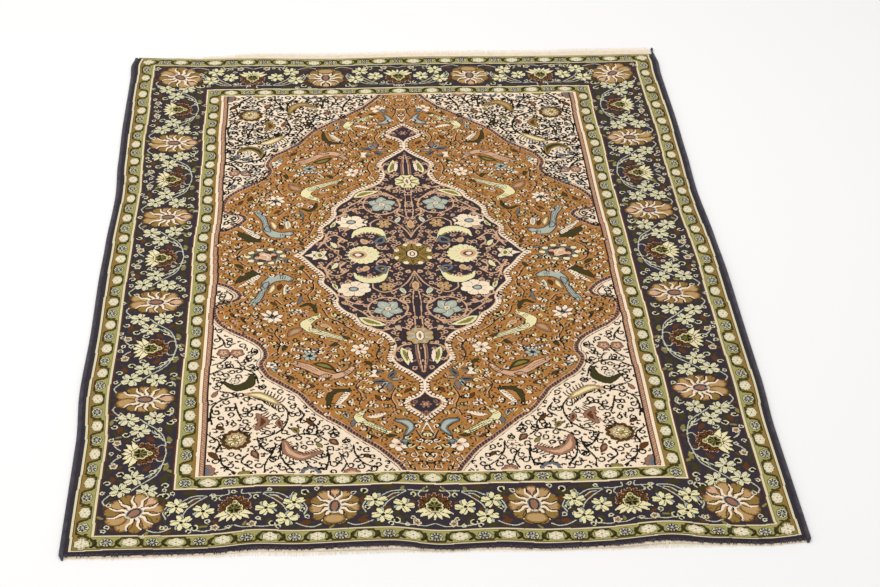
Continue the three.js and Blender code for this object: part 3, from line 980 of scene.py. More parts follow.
# The ivory corners: vines in big rounds, feathered leaves and half flowers at the edges. The near corners
# and the far ones differ a little, in the weight of a line, in wools, and in the room and pitch of scatters
spandrelLooks = dict(
    near=dict(
        bold=4.0, bulb="olive", warm="mauve", light="rose", second="black", curls=(6.2, 14), specks=(4.4, 11),
    ),
    far=dict(
        bold=5.0, bulb="ochre", warm="ochre", light="tan", second="slate", curls=(5.2, 11), specks=(3.4, 7.5),
    ),
)
spandrelVines = [
    [(442, 440), (412, 420), (376, 422), (352, 441), (344, 470)],
    [(374, 514), (409, 523), (433, 544), (440, 574), (436, 606)],
    [(297, 544), (283, 570), (285, 604), (298, 630), (322, 649), (350, 658)],
    [(404, 372), (420, 396), (440, 410)], [(279, 652), (292, 668), (294, 700), (287, 728), (272, 748)],
    [(279, 652), (255, 642), (228, 644), (204, 660)], [(238, 602), (224, 622), (226, 644)],
    [(304, 676), (310, 702), (324, 730), (326, 758)], [(416, 700), (410, 730), (384, 756)],
    [(204, 690), (200, 716), (206, 748)], [(150, 676), (146, 706), (130, 734), (104, 750)],
    [(436, 300), (420, 330), (438, 352)], [(392, 540), (386, 566), (378, 590)],
    [(440, 640), (420, 660), (424, 690)], [(180, 700), (166, 730), (176, 756)],
    [(424, 498), (398, 506), (384, 522)], [(330, 566), (352, 560), (372, 574)],
    [(340, 664), (330, 684), (312, 700)], [(262, 560), (250, 584), (266, 602)],
    [(246, 728), (232, 744), (206, 750)], [(360, 700), (372, 722), (350, 744)],
]
spandrelLeaves = [
    (440, 690, 420, 714, 13, 2, "rust"), (352, 690, 338, 716, 14, 0, "rust", "mauve"),
    (302, 592, 293, 624, 13, -2, "mauve", "rust"), (198, 656, 182, 676, 15, 0, "rust", "mauve"),
    (244, 594, 232, 616, 10, 0, "rust"), (274, 622, 262, 640, 12, 2, "moss", "rust"),
    (428, 612, 412, 624, 10, 0, "rust"), (128, 706, 116, 720, 9, 0, "rust"),
    (214, 684, 226, 668, 9, 0, "moss"), (436, 520, 426, 500, 9, 0, "mauve"),
]
spandrelHalfFlowers = [
    (365, 766, 17, "moss", "leaf"), (237, 762, 21, "slate", "ivory"), (156, 764, 18, "mauve", "rose"),
    (446, 748, 22, "mauve", "slate"),
]


def spandrel(frame, far, rng):
    own = spandrelLooks["far" if far else "near"]
    bold, warm = own["bold"], own["warm"]
    edge = smooth(spandrelEdge, steps=4)
    keep = chart["grid"].copy()
    fill(
        frame, np.vstack([edge, [(44, 800), (490, 800), (490, 98)]]), (0.6, "black"), (0, "rose"),
        (-2.0, "mauve"), (-9.6, "black"), (-10.8, "rose"), (-13, "ivory"), (-15, "black"), (-16.8, "ivory"),
    )
    for x, y, turn in stations(edge, 8.4, 2):
        stroke(within(frame, x, y, turn), [(-1.5, -4.4), (1.5, -8)], 4.4, (0, "navy"))
    for points in spandrelVines:
        scrollVine(frame, points, "black", bold, 34, 25, rng, open=35)
    for row in spandrelLeaves:
        leaf(frame, *row)
    for side in (-1, 1):
        twin = within(frame, 406 + 14 * side, 366)
        fill(twin, lobed(14, 5, 0.22, start=90), (1.5, "black"), (0, "mauve"), (-5, "rose"), (-9, "rust"))
    spine = [(357, 443), (362, 472), (388, 487), (414, 468)]
    limb(frame, spine, [6, 21, 19, 6], (1.4, "black"), (0, own["bulb"]), (-4.5, "olive"))
    daisy(frame, 391, 463, 10, 6, 0, "ivory", "sky")
    spine = [(369, 509), (342, 513), (317, 530), (300, 546)]
    teeth(frame, spine, 7.6, 24, 3.4, "black", -62)
    teeth(frame, spine[1:], 7.6, 22, 3.4, "black", 78)
    limb(frame, spine, [7, 20, 18, 6], (1.3, "black"), (0, "tan"), (-5, "straw"))
    spine = [(346, 576), (334, 600), (346, 622)]
    teeth(frame, spine, 7, 21, 3.4, "black", 75)
    teeth(frame, spine, 6, 14, 3.0, "rust", -75)
    limb(frame, spine, [6, 24, 9], (1.3, "black"), (0, warm), (-6, "rust"))
    spine = [(287, 668), (278, 696), (252, 713), (214, 696)]
    teeth(frame, spine, 7.5, 20, 3.4, "black", -80)
    teeth(frame, spine, 5.5, 13, 3.4, "rust", 80)
    limb(frame, spine, [12, 22, 20, 5], (1.3, "black"), (0, warm), (-6, own["light"]))
    ring = within(frame, 387, 655)
    fill(ring, lobed(32, 11, 0.12), (0, "rust"), (-4, "olive"), (-8, "tan"), (-14, "ivory"))
    tulip(turned(ring, 30), 20, "straw", "ochre")
    daisy(frame, 165, 686, 13, 6, 0, "ivory", "mauve")
    for x, y, wide, wool, heart in spandrelHalfFlowers:
        fill(within(frame, x, y), lobed(wide, 9, 0.16), (1.5, "black"), (0, wool), (-6, heart))
    def curls(spot):
        wool = own["second"] if rng.random() < 0.25 else "black"
        tendril(spun(rng, spot, 5), rng.uniform(29, 37), rng.choice((-1, 1)), bold, wool)
    ground = dict(low=(60, 100 if far else -760), high=(440, 760 if far else -100), ground="ivory")
    scatter(rng, curls, *own["curls"], **ground)
    def specks(spot):
        comma = hook(rng.uniform(8, 13), 0.5, rng.choice((-1, 1)), 5)
        stroke(spun(rng, spot), comma, (bold, 2.6), (0, "black"))
    scatter(rng, specks, *own["specks"], **ground)
    # nothing of the corner strays over the borders round the field
    outside = (chart["x"][None, :] >= field["side"]) | (np.abs(chart["y"][:, None]) >= field["end"])
    chart["grid"][outside] = keep[outside]


# What is left of the field's copper, and where the oval flower of each side is
copperGround = dict(low=(4, -756), high=(442, 756), ground="copper")
sideFlower = 338


def drawField():
    rng = np.random.default_rng(7)
    medallion(rng)
    for end in (-1, 1):
        spandrel(frameAt(0, 0, (1, 0), (0, end)), end > 0, rng)
    sideRosette(frameAt(sideFlower, 0))
    for end in (-1, 1):
        copperQuarter(frameAt(0, 0, (1, 0), (0, end)))
    def hooks(spot):
        turn = rng.choice((90, -90)) + rng.uniform(-38, 38)
        dark = rng.choice(["black", "rust", "rust", "black", "olive"])
        light = rng.choice(["ivory", "tan", "straw", "rose", "ivory"])
        sprig(turned(spot, turn), rng.uniform(18, 26), rng.choice((-1, 1)), dark, light)
    scatter(rng, hooks, 4.4, 13.5, **copperGround)
    def specks(spot):
        dot(spot, 0, 0, 1.3, (1.3, "black"), (0, rng.choice(["rose", "rust", "ochre"])))
    scatter(rng, specks, 3.0, 10.5, **copperGround)


# The mesh of the pile: each face holds 4 by 6 knots, whose wools are packed into its attribute. In knots,
# how far the chart wavers and the field's middle is off. In mm, how uneven the pile is, how much lower its
# rim is, and how far its side is drawn in at each height and at its foot
pileMesh = dict(
    knotsAcross=4, knotsAlong=6, waver=1.3, waverReach=120, offMiddle=3.6, uneven=0.25, unevenReach=90,
    dip=0.4, side=((0.9, 7.7), (0, 5.6), (0, 2.6)), foot=0.8,
)


# A smooth random unevenness, mostly from -1 to 1
def waver(rng, x, y, reach):
    total = 0 * (x + y)
    for _ in range(7):
        heading, phase = rng.uniform(0, 2 * np.pi, 2)
        long = reach * rng.uniform(0.6, 1.6)
        total = total + np.sin((x * np.cos(heading) + y * np.sin(heading)) * 2 * np.pi / long + phase)
    return total / 4


def wholeChart():
    bandGrounds()
    mainBorders()
    guardBorders()
    drawField()
    borderLeaves()
    half = chart["grid"]
    rows, columns = half.shape[0], half.shape[1] * 2
    # the weaver's count slips by a knot here and there, so that no motif is a true copy
    rng = np.random.default_rng(3)
    row, column = np.arange(rows)[:, None] + 0.0, np.arange(columns)[None, :] + 0.0
    # and the middle of the field was beaten down a little off the true middle
    inField = np.clip(1 - (chart["y"] / field["end"]) ** 4, 0, 1)[:, None]
    slip, reach = pileMesh["waver"], pileMesh["waverReach"]
    row = row - pileMesh["offMiddle"] * inField + slip * waver(rng, column, row, reach)
    column = column + slip * waver(rng, column, row, reach)
    row = np.clip(np.round(row), 0, rows - 1).astype(int)
    column = np.clip(np.round(column), 0, columns - 1).astype(int)
    fromMiddle = np.where(column < columns // 2, columns // 2 - 1 - column, column - columns // 2)
    grid = half[row, fromMiddle]
    # the last rows at the far end carry the guard's own greens instead of navy
    grid[-3:] = woolNumber["moss"]
    return grid


# Six rows of knots in base 16 make one number, and four columns make the four channels
def packKnots(grid):
    along, across = pileMesh["knotsAlong"], pileMesh["knotsAcross"]
    tiles = grid.reshape(grid.shape[0] // along, along, grid.shape[1] // across, across)
    return np.einsum("arbc,r->abc", tiles.astype(float), 16.0 ** np.arange(along))


# The numbers round the outside of a grid, once anticlockwise from its first corner
def loopOf(number):
    return np.concatenate([number[0, :-1], number[:-1, -1], number[-1, :0:-1], number[:0:-1, 0]])


# The faces between the rows and columns of a grid, seen from above
def gridFaces(number):
    corners = [number[:-1, :-1], number[:-1, 1:], number[1:, 1:], number[1:, :-1]]
    return np.stack(corners, -1).reshape(-1, 4)


# The faces between one loop of points and the next one above it
def wallFaces(lower, upper):
    corners = [lower, np.roll(lower, -1, -1), np.roll(upper, -1, -1), upper]
    return np.stack(corners, -1).reshape(-1, 4)


# The order of a face's corners that turns it over
turnedOver = [0, 3, 2, 1]


# Gives each face the knots that it holds, and where its corners are in the face and in the rug. A face of a
# wall looks like the outermost knots of the face of the top that it hangs from
def chartFaces(mesh, packed, walls):
    countY, countX = packed.shape[:2]
    tile = np.arange(countX * countY).reshape(countY, countX)
    rimTile = np.concatenate([tile[0], tile[:, -1], tile[-1, ::-1], tile[::-1, 0]])
    faceTile = np.concatenate([tile.ravel(), tile.ravel(), *[rimTile] * walls])
    knots = mesh.attributes.new("knots", "FLOAT_COLOR", "FACE")
    knots.data.foreach_set("color", packed.reshape(-1, 4)[faceTile].astype(np.float32).ravel())
    corners = np.array([[0, 0], [1, 0], [1, 1], [0, 1]], float)
    run, edge = corners[:, 0], 0.02
    sides = [(run, edge), (1 - edge, run), (1 - run, 1 - edge), (edge, 1 - run)]
    onRim = []
    for side, count in zip(sides, (countX, countY, countX, countY)):
        onRim.append(np.tile(np.stack(np.broadcast_arrays(*side), -1), (count, 1, 1)))
    above, below = np.tile(corners, (tile.size, 1, 1)), np.tile(corners[::-1], (tile.size, 1, 1))
    inFace = np.concatenate([above, below, *onRim * walls])
    place = np.stack([faceTile % countX, faceTile // countX], 1)[:, None, :]
    inRug = (place + inFace) * (pileMesh["knotsAcross"], pileMesh["knotsAlong"])
    for name, values in (("knotInFace", inFace), ("knotInRug", inRug)):
        mesh.uv_layers.new(name=name).data.foreach_set("uv", values.astype(np.float32).ravel())


def rugPile(materials):
    grid = wholeChart()
    print("knot chart drawn:", grid.shape)
    packed = packKnots(grid)
    countY, countX = packed.shape[:2]
    x = np.linspace(-rug["halfWidth"], rug["halfWidth"], countX + 1)
    gridX, gridY = np.meshgrid(x, np.linspace(rug["near"], rug["far"], countY + 1))
    uneven = pileMesh["uneven"] * waver(np.random.default_rng(11), gridX, gridY, pileMesh["unevenReach"])
    # which way is out of the rug at its rim, and nowhere inside it
    outX = np.where(np.abs(gridX) > rug["halfWidth"] - 1, np.sign(gridX), 0)
    outY = (gridY > rug["far"] - 1) * 1.0 - (gridY < rug["near"] + 1) * 1.0
    outward = np.stack([outX, outY, 0 * outX], -1)
    onRim = (outX != 0) | (outY != 0)
    top = lie(gridX, gridY, rug["pile"] + np.where(onRim, -pileMesh["dip"], uneven))
    under = lie(gridX, gridY)
    number = np.arange(gridX.size).reshape(gridX.shape)
    loop = loopOf(number)
    rings = []
    for inset, height in pileMesh["side"]:
        rings.append((under - outward * inset).reshape(-1, 3)[loop] + (0, 0, height))
    top = top - outward * rug["inset"]
    under = under - outward * pileMesh["foot"]
    vertices = np.vstack([top.reshape(-1, 3), under.reshape(-1, 3), *rings])
    ringLoops = 2 * number.size + np.arange(len(rings) * len(loop)).reshape(len(rings), -1)
    levels = [loop, *ringLoops, loop + number.size]
    walls = [wallFaces(lower, upper) for upper, lower in zip(levels[:-1], levels[1:])]
    topFaces = gridFaces(number)
    faces = np.vstack([topFaces, topFaces[:, ::-1] + number.size, *walls])
    underPart = slice(len(topFaces), 2 * len(topFaces))
    piece = newPiece(
        "rug_pile", toFrame(vertices), faces, materials, ["knotted_pile"], underPart, smoothed=True,
    )
    chartFaces(piece.data, packed, len(walls))
    return piece


# The colour of the knot under a point: unpacks the face's number, then looks up the wool
def knotColour(tree):
    inFace = addNode(tree, "UVMap", uv_map="knotInFace").outputs[0]
    # a hair less than the count, so that a face's far edge isn't taken for the next face's knots
    knotsInFace = (pileMesh["knotsAcross"] - 0.0001, pileMesh["knotsAlong"] - 0.0001, 1)
    scaled = addNode(tree, "VectorMath", {0: inFace, 1: knotsInFace}, operation="MULTIPLY").outputs[0]
    whole = addNode(tree, "VectorMath", {0: scaled}, operation="FLOOR").outputs[0]
    knot = addNode(tree, "SeparateXYZ", {0: whole})
    packed = addNode(tree, "Attribute", attribute_name="knots")
    channels = addNode(tree, "SeparateColor", {0: packed.outputs["Color"]})
    number = channels.outputs[0]
    for i, channel in enumerate([channels.outputs[1], channels.outputs[2], packed.outputs["Alpha"]]):
        past = addNode(tree, "Math", {0: knot.outputs[0], 1: i + 0.5}, operation="GREATER_THAN").outputs[0]
        number = addNode(tree, "Mix", {0: past, 2: number, 3: channel}, clamp_factor=False).outputs[0]
    # sixteen to the power of the row, multiplied up so that it stays exact
    place = 1.0
    for i in range(1, pileMesh["knotsAlong"]):
        past = addNode(tree, "Math", {0: knot.outputs[1], 1: i - 0.5}, operation="GREATER_THAN").outputs[0]
        step = addNode(tree, "Math", {0: past, 1: 15, 2: 1}, operation="MULTIPLY_ADD").outputs[0]
        place = addNode(tree, "Math", {0: place, 1: step}, operation="MULTIPLY").outputs[0]
    shifted = addNode(tree, "Math", {0: number, 1: place}, operation="DIVIDE").outputs[0]
    shifted = addNode(tree, "Math", {0: shifted}, operation="FLOOR").outputs[0]
    digit = addNode(tree, "Math", {0: shifted, 1: 16}, operation="FLOORED_MODULO").outputs[0]
    share = addNode(tree, "Math", {0: digit, 1: 1 / 16, 2: 0.5 / 16}, operation="MULTIPLY_ADD").outputs[0]
    ramp = addNode(tree, "ValToRGB", {0: share})
    ramp.color_ramp.interpolation = "CONSTANT"
    while len(ramp.color_ramp.elements) < len(wools):
        ramp.color_ramp.elements.new(0.99)
    for i, colour in enumerate(wools.values()):
        ramp.color_ramp.elements[i].position = i / 16
        ramp.color_ramp.elements[i].color = linear(colour)
    return ramp.outputs[0]


# Cut wool pile: matt, with a soft sheen at a slant, each knot a little lighter or darker than the next
def knottedWool():
    material, tree = newMaterial("knotted wool pile")
    knot = addNode(tree, "UVMap", uv_map="knotInRug").outputs[0]
    cell = addNode(tree, "VectorMath", {0: knot}, operation="FLOOR").outputs[0]
    random = addNode(tree, "TexWhiteNoise", {"Vector": cell}, noise_dimensions="2D").outputs["Value"]
    grain = addNode(tree, "Math", {0: random, 1: 0.16, 2: 0.92}, operation="MULTIPLY_ADD").outputs[0]
    # the wool was dyed in batches, which show as faint stripes across the rug
    batch = addNode(tree, "Mapping", {"Vector": knot, "Scale": (0.002, 0.02, 1)}).outputs[0]
    batch = addNode(tree, "TexNoise", {"Vector": batch, "Scale": 1.0, "Detail": 2.0}).outputs[0]
    batch = addNode(tree, "Math", {0: batch, 1: 0.24, 2: -0.12}, operation="MULTIPLY_ADD").outputs[0]
    value = addNode(tree, "Math", {0: grain, 1: batch}, operation="ADD").outputs[0]
    colour = addNode(tree, "HueSaturation", {"Value": value, "Color": knotColour(tree)}).outputs[0]
    inKnot = addNode(tree, "VectorMath", {0: knot}, operation="FRACTION").outputs[0]
    away = addNode(tree, "VectorMath", {0: inKnot, 1: (0.5, 0.5, 0)}, operation="DISTANCE").outputs["Value"]
    fall = addNode(tree, "Math", {0: away, 1: 2}, operation="POWER").outputs[0]
    dome = addNode(tree, "Math", {0: fall, 1: -1.6, 2: 1}, operation="MULTIPLY_ADD").outputs[0]
    height = addNode(tree, "Math", {0: random, 1: 0.5, 2: dome}, operation="MULTIPLY_ADD").outputs[0]
    bump = addNode(tree, "Bump", {"Height": height, "Strength": 0.5, "Distance": 0.0006})
    shader = addNode(tree, "BsdfPrincipled", {
        "Base Color": colour, "Roughness": 0.95, "IOR": 1.5, "Sheen Weight": 0.06, "Sheen Roughness": 0.4,
        "Specular IOR Level": 0.06, "Normal": bump.outputs[0],
    })
    finishMaterial(tree, shader)
    return material


# The back of the knots: the same pattern, flatter and paler where the cotton wefts show between the rows
def knottedBack():
    material, tree = newMaterial("knotted back of wool on cotton")
    knot = addNode(tree, "UVMap", uv_map="knotInRug").outputs[0]
    inKnot = addNode(tree, "VectorMath", {0: knot}, operation="FRACTION").outputs[0]
    along = addNode(tree, "SeparateXYZ", {0: inKnot}).outputs[1]
    halfTurn = addNode(tree, "Math", {0: along, 1: np.pi}, operation="MULTIPLY").outputs[0]
    ridge = addNode(tree, "Math", {0: halfTurn}, operation="SINE").outputs[0]
    weft = addNode(tree, "Math", {0: ridge, 1: 0.35}, operation="LESS_THAN").outputs[0]
    weft = addNode(tree, "Math", {0: weft, 1: 0.5}, operation="MULTIPLY").outputs[0]
    inputs = {0: weft, 6: knotColour(tree), 7: linear("#cfc2a8")}
    colour = addNode(tree, "Mix", inputs, data_type="RGBA").outputs[2]
    bump = addNode(tree, "Bump", {"Height": ridge, "Strength": 0.6, "Distance": 0.0004})
    shader = addNode(tree, "BsdfPrincipled", {
        "Base Color": colour, "Roughness": 0.9, "IOR": 1.5, "Specular IOR Level": 0.2,
        "Normal": bump.outputs[0],
    })
    finishMaterial(tree, shader)
    return material


pilePiece = rugPile([knottedWool(), knottedBack()])
print("pile built")


# Round strands along many paths at once: paths are strand by point by xyz in mm
def strandMesh(paths, radii, sides=5):
    paths = np.asarray(paths, float)
    heading = np.gradient(paths, axis=1)
    heading /= np.linalg.norm(heading, axis=2, keepdims=True)
    up = np.broadcast_to([0.0, 0.0, 1.0], heading.shape)
    across = np.cross(heading, up)
    across /= np.maximum(np.linalg.norm(across, axis=2, keepdims=True), 1e-6)
    up = np.cross(across, heading)
    turn = np.linspace(0, 2 * np.pi, sides, endpoint=False)
    ring = across[:, :, None] * np.cos(turn)[:, None] + up[:, :, None] * np.sin(turn)[:, None]
    vertices = paths[:, :, None] + ring * np.asarray(radii)[..., None, None]
    strands, points = paths.shape[:2]
    number = np.arange(strands * points * sides).reshape(strands, points, sides)
    caps = number[:, 0, ::-1].tolist() + number[:, -1].tolist()
    return vertices.reshape(-1, 3), wallFaces(number[:, :-1], number[:, 1:]).tolist() + caps


# Twisted or fuzzy yarn: matt, mottled between a dark and a light colour, with a fine bump
def yarnMaterial(name, dark, light, scale, sheen):
    material, tree = newMaterial(name)
    place = addNode(tree, "TexCoord").outputs["Object"]
    noise = addNode(tree, "TexNoise", {"Vector": place, "Scale": scale, "Detail": 4.0}).outputs[0]
    broad = addNode(tree, "TexNoise", {"Vector": place, "Scale": scale / 30, "Detail": 2.0}).outputs[0]
    share = addNode(tree, "Math", {0: noise, 1: broad}, operation="MULTIPLY").outputs[0]
    share = addNode(tree, "MapRange", {0: share, 1: 0.1, 2: 0.4}).outputs[0]
    inputs = {0: share, 6: linear(dark), 7: linear(light)}
    colour = addNode(tree, "Mix", inputs, data_type="RGBA").outputs[2]
    bump = addNode(tree, "Bump", {"Height": noise, "Strength": 0.4, "Distance": 0.0005})
    shader = addNode(tree, "BsdfPrincipled", {
        "Base Color": colour, "Roughness": 0.9, "IOR": 1.5, "Sheen Weight": sheen,
        "Specular IOR Level": 0.2, "Normal": bump.outputs[0],
    })
    finishMaterial(tree, shader)
    return material


# Dark wool with a soft bloom, and cream cotton, twisted finer and hardly fuzzy
navyYarn = yarnMaterial("overcast navy wool yarn", "#221d25", "#4c4550", 1500, 0.3)
cottonYarn = yarnMaterial("undyed cotton warp", "#ecd9bb", "#fff3e0", 2200, 0.15)

# The overcast selvedges: a cord wound with wool, each turn a ridge, tapering over its last few mm
selvedge = dict(width=10.0, height=8.0, sides=14, yarn=2.6, ridge=0.45, rings=5, slant=1.6, taper=5)
# How far each one runs on past the pile, and its girth there
selvedgeEnds = {
    -1: dict(nearPast=10, nearGirth=0.4, farPast=3, farGirth=0.5),
    1: dict(nearPast=7, nearGirth=0.5, farPast=6, farGirth=0.6),
}


def overcastSelvedge(side, name, replaced):
    s, own = selvedge, selvedgeEnds[side]
    start, stop = rug["near"] - own["nearPast"], rug["far"] + own["farPast"]
    turns = int((stop - start) / s["yarn"])
    y = np.linspace(start, stop, turns * s["rings"] + 1)
    inRug = np.clip(y, rug["near"], rug["far"])
    inner = lie(side * rug["halfWidth"], inRug)
    girth = np.interp(y, [start, rug["near"], rug["far"], stop], [own["nearGirth"], 1, 1, own["farGirth"]])
    loose = np.repeat(np.random.default_rng(21 + side).uniform(0.75, 1.1, turns + 1), s["rings"])[:len(y)]
    ridge = np.abs(np.sin(np.pi * np.linspace(0, turns, len(y)))) ** 0.7 * loose
    grow = 1 - s["ridge"] * (1 - ridge) / (s["height"] / 2)
    wide, high = s["width"] / 2 * girth, s["height"] / 2 * girth
    turn = np.linspace(0, 2 * np.pi, s["sides"], endpoint=False)
    x = inner[:, :1] + side * (rug["gap"] + wide[:, None]) + (wide * grow)[:, None] * np.cos(turn)
    z = inner[:, 2:] + high[:, None] + (high * grow)[:, None] * np.sin(turn)
    lean = np.interp(y, [start, start + s["taper"], stop - s["taper"], stop], [0, 1, 1, 0])[:, None]
    y = (inner[:, 1] + y - inRug)[:, None] + s["slant"] * side * np.cos(turn) * lean
    number = np.arange(x.size).reshape(x.shape)
    faces = wallFaces(number[:-1], number[1:])[:, turnedOver].tolist()
    faces += [number[0].tolist(), number[-1, ::-1].tolist()]
    vertices = toFrame(np.stack([x, y, z], -1))
    return newPiece(name, vertices, faces, [navyYarn], replaced, smoothed=True)


leftSelvedge = overcastSelvedge(-1, "selvedge_yarn_left", ["selvedge_left"])
rightSelvedge = overcastSelvedge(1, "selvedge_yarn_right", ["selvedge_right"])
print("selvedges built")

# The flat-woven ends and the cut warps beyond them, in mm, and the line that each end starts from
ends = dict(cloth=2.0, steps=220, wave=0.8, strandPitch=2.75, radius=0.75, points=7, root=3.0, inside=2)
endLine = {-1: rug["near"], 1: rug["far"]}


# Plain-woven undyed cotton: fine ribs along the rug's end, a little uneven in colour, with painted light on
# each rib's crest and painted shade in the groove between ribs
def wovenCotton():
    material, tree = newMaterial("plain-woven undyed cotton")
    place = addNode(tree, "TexCoord").outputs["Object"]
    # a rib each 3.2 mm across the rug and each 1.6 mm along it
    ribs = (2 * np.pi / 0.0032, 2 * np.pi / 0.0016, 0)
    turns = addNode(tree, "VectorMath", {0: place, 1: ribs}, operation="MULTIPLY").outputs[0]
    waves = addNode(tree, "VectorMath", {0: turns}, operation="SINE").outputs[0]
    split = addNode(tree, "SeparateXYZ", {0: waves})
    warp, weft = split.outputs[0], split.outputs[1]
    height = addNode(tree, "Math", {0: warp, 1: 0.5, 2: weft}, operation="MULTIPLY_ADD").outputs[0]
    noise = addNode(tree, "TexNoise", {"Vector": place, "Scale": 60.0, "Detail": 4.0}).outputs[0]
    # painted light and shade: the colour follows each rib, lighter on its crest and darker in its groove
    paintedRibShade = addNode(tree, "Math", {0: weft, 1: 0.22, 2: 0.1}, operation="MULTIPLY_ADD").outputs[0]
    share = addNode(tree, "Math", {0: paintedRibShade, 1: noise}, operation="ADD").outputs[0]
    inputs = {0: share, 6: linear("#e2c9a6"), 7: linear("#fff0d9")}
    colour = addNode(tree, "Mix", inputs, data_type="RGBA").outputs[2]
    bump = addNode(tree, "Bump", {"Height": height, "Strength": 0.5, "Distance": 0.0005})
    shader = addNode(tree, "BsdfPrincipled", {
        "Base Color": colour, "Roughness": 0.9, "IOR": 1.5, "Sheen Weight": 0.1,
        "Specular IOR Level": 0.2, "Normal": bump.outputs[0],
    })
    finishMaterial(tree, shader)
    return material


# The cloth of one end, its outer edge a little wavy and less lifted than the pile
def clothStrip(side, table):
    x = np.linspace(-rug["halfWidth"], rug["halfWidth"], ends["steps"] + 1)
    root = lie(x, endLine[side])
    share = np.linspace(0, 1, 5)[:, None]
    width = fromTable(table, x, "woven") + ends["wave"] * np.sin(x * 0.31) * np.sin(x * 0.047)
    y = root[:, 1] + side * (rug["gap"] + share * width)
    low = root[:, 2] * (1 - 0.4 * share)
    layers = [np.stack(np.broadcast_arrays(root[:, 0], y, low + high), -1) for high in (0.0, ends["cloth"])]
    number = np.arange(y.size).reshape(y.shape)
    flat, loop = gridFaces(number), loopOf(number)
    faces = np.vstack([flat[:, turnedOver], flat + y.size, wallFaces(loop, loop + y.size)])
    if side < 0:
        faces = faces[:, ::-1]
    return np.reshape(layers, (-1, 3)), faces


def fringedEnd(side, table, name, replaced, cloth):
    vertices, faces = clothStrip(side, table)
    count = int(2 * rug["halfWidth"] / ends["strandPitch"])
    rng = np.random.default_rng(40 + side)
    last = rug["halfWidth"] - ends["inside"]
    x = np.linspace(-last, last, count) + rng.uniform(-0.5, 0.5, count)
    place = lie(x, endLine[side])
    woven = fromTable(table, x, "woven")
    tips = fromTable(table, x, "tips") - rng.uniform(0, 3.5, count)
    t = np.linspace(0, 1, ends["points"])
    run = (woven - ends["root"])[:, None] + (tips - woven + ends["root"])[:, None] * t
    lean = rng.normal(0, 1.1, count)[:, None] * t**1.5
    lean = lean + rng.normal(0, 0.5, count)[:, None] * np.sin(np.pi * t)
    y = place[:, 1:2] + side * (rug["gap"] + run)
    radius = ends["radius"] * rng.uniform(0.8, 1.15, count)[:, None] * (1 - 0.35 * t)
    z = place[:, 2:3] * (1 - t) + radius + (ends["cloth"] * 0.3) * (1 - t)
    strands, strandFaces = strandMesh(np.stack([place[:, :1] + lean, y, z], -1), radius)
    allFaces = faces.tolist() + [[i + len(vertices) for i in face] for face in strandFaces]
    allVertices = toFrame(np.vstack([vertices, strands]))
    strandPart = slice(len(faces), None)
    return newPiece(name, allVertices, allFaces, [cloth, cottonYarn], replaced, strandPart)


clothMaterial = wovenCotton()
nearFringe = fringedEnd(-1, nearEnd, "warp_end_near", ["fringed_end_near"], clothMaterial)
farFringe = fringedEnd(1, farEnd, "warp_end_far", ["fringed_end_far"], clothMaterial)
print("ends built")

# The loose end of the overcasting yarn: a thin neck, then a frayed tuft
tail = dict(start=6.5, length=37.0, turnOut=3.0, strands=42, points=9, radius=0.5, lowest=0.55)
tailRadius = dict(at=[0, 14, 21, 29, 37], out=[3.8, 2.6, 2.8, 4.6, 2.2])


def looseTail():
    rng = np.random.default_rng(5)
    root = lie(rug["halfWidth"], rug["far"])
    t = np.linspace(0, 1, tail["points"])
    along = tail["length"] * t
    girth = fromTable(tailRadius, along)
    turn = rng.uniform(0, 2 * np.pi, tail["strands"])[:, None] + 1.5 * t
    away = np.sqrt(rng.uniform(0.05, 1, tail["strands"]))[:, None] * (girth - tail["radius"])
    centre = root[0] + rug["gap"] + selvedge["width"] / 2 + tail["turnOut"] * t**2
    reach = rng.uniform(0.88, 1.0, tail["strands"])[:, None]
    x = centre + away * np.cos(turn)
    y = root[1] + tail["start"] + along * reach
    z = girth + away * np.sin(turn)
    paths = np.stack([x, y, np.maximum(z, tail["lowest"])], -1)
    vertices, faces = strandMesh(paths, np.full(paths.shape[:2], tail["radius"]))
    return newPiece("loose_yarn_tail", toFrame(vertices), faces, [navyYarn], ["selvedge_tail"])


tailPiece = looseTail()

# The outermost knots of each end lean outwards over the cotton as a comb of tufts. In mm, how far apart and
# how wide they are, where they start inside the edge, how high, how far they droop, and their reach past it
tufts = dict(pitch=3.19, wide=3.3, inside=3, root=2.5, high=6.2, droop=3.2, near=(0.8, 6.4), far=(2.0, 7.5))
# Fuzzy green-brown wool, lighter than the navy
edgeYarn = yarnMaterial("green and brown wool pile at the far edge", "#6e6540", "#a79f72", 1500, 0.3)


def edgeTufts(side, name, reach, yarn):
    rng = np.random.default_rng(60 + side)
    count = int(2 * rug["halfWidth"] / tufts["pitch"])
    last = rug["halfWidth"] - tufts["inside"]
    place = lie(np.linspace(-last, last, count), endLine[side])
    out = rng.uniform(*reach, count)
    t = np.array([0, 0.35, 0.75, 1.0])
    y = place[:, 1:2] + side * (-tufts["root"] + (tufts["root"] + out)[:, None] * t)
    z = place[:, 2:3] + tufts["high"] - (tufts["droop"] * t**1.6) * rng.uniform(0.8, 1.1, count)[:, None]
    lean = rng.normal(0, 0.9, count)[:, None] * t
    paths = np.stack([place[:, :1] + lean, y, z], -1)
    radius = tufts["wide"] / 2 * rng.uniform(0.8, 1.15, count)[:, None] * np.array([1.0, 1.0, 0.75, 0.25])
    vertices, faces = strandMesh(paths, radius, sides=6)
    return newPiece(name, toFrame(vertices), faces, [yarn])


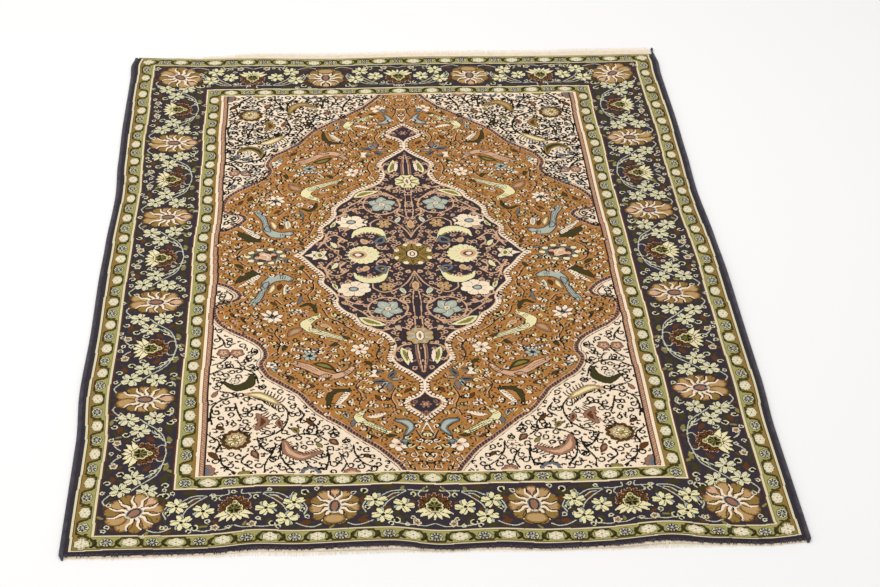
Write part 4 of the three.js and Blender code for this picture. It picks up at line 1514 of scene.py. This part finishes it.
nearTufts = edgeTufts(-1, "pile_tufts_near", tufts["near"], navyYarn)
farTufts = edgeTufts(1, "pile_tufts_far", tufts["far"], edgeYarn)
print("edges and tufts built")


# Where the photograph was taken from, in metres from the straight rug's middle, and its lens in mm
view = dict(lens=77.08, sensor=36, place=(-0.1983, -3.5889, 2.4046), turn=(55.1635, -1.1178, -3.4))


def addCamera():
    camera = bpy.data.cameras.new("camera")
    camera.lens = view["lens"]
    camera.sensor_width = view["sensor"]
    holder = bpy.data.objects.new("camera", camera)
    holder.location = Vector(view["place"]) + Vector(middle)
    holder.rotation_euler = np.radians(view["turn"]).tolist()
    bpy.context.collection.objects.link(holder)
    bpy.context.scene.camera = holder


def addFloor():
    mesh = bpy.data.meshes.new("studio_floor")
    half = 12
    corners = [(-half, -half, 0), (half, -half, 0), (half, half, 0), (-half, half, 0)]
    mesh.from_pydata(corners, [], [(0, 1, 2, 3)])
    floor = bpy.data.objects.new("studio_floor", mesh)
    bpy.context.collection.objects.link(floor)
    material, tree = newMaterial("pale studio floor")
    shader = addNode(tree, "BsdfPrincipled", {"Base Color": linear("#f4f3f1"), "Roughness": 0.85})
    finishMaterial(tree, shader)
    mesh.materials.append(material)


# Soft light from above, a little from the left and the far side, in metres and watts, and from all round
lights = [
    dict(name="overhead_panel", place=(-0.6, 0.6, 4.2), size=4.5, power=108),
    dict(name="window_panel", place=(-3.6, -1.2, 2.6), size=3.0, power=24),
]
allRound = 0.64


def addLights():
    for light in lights:
        lamp = bpy.data.lights.new(light["name"], "AREA")
        lamp.shape = "SQUARE"
        lamp.size = light["size"]
        lamp.energy = light["power"]
        holder = bpy.data.objects.new(light["name"], lamp)
        holder.location = light["place"]
        holder.rotation_euler = (-Vector(light["place"])).to_track_quat("-Z", "Y").to_euler()
        bpy.context.collection.objects.link(holder)
    world = bpy.data.worlds.new("studio")
    world.use_nodes = True
    background = world.node_tree.nodes["Background"]
    background.inputs["Color"].default_value = linear("#ffffff")
    background.inputs["Strength"].default_value = allRound
    bpy.context.scene.world = world


addCamera()
addFloor()
addLights()
bpy.context.scene.view_settings.view_transform = "Standard"
print("camera, floor and lights placed")
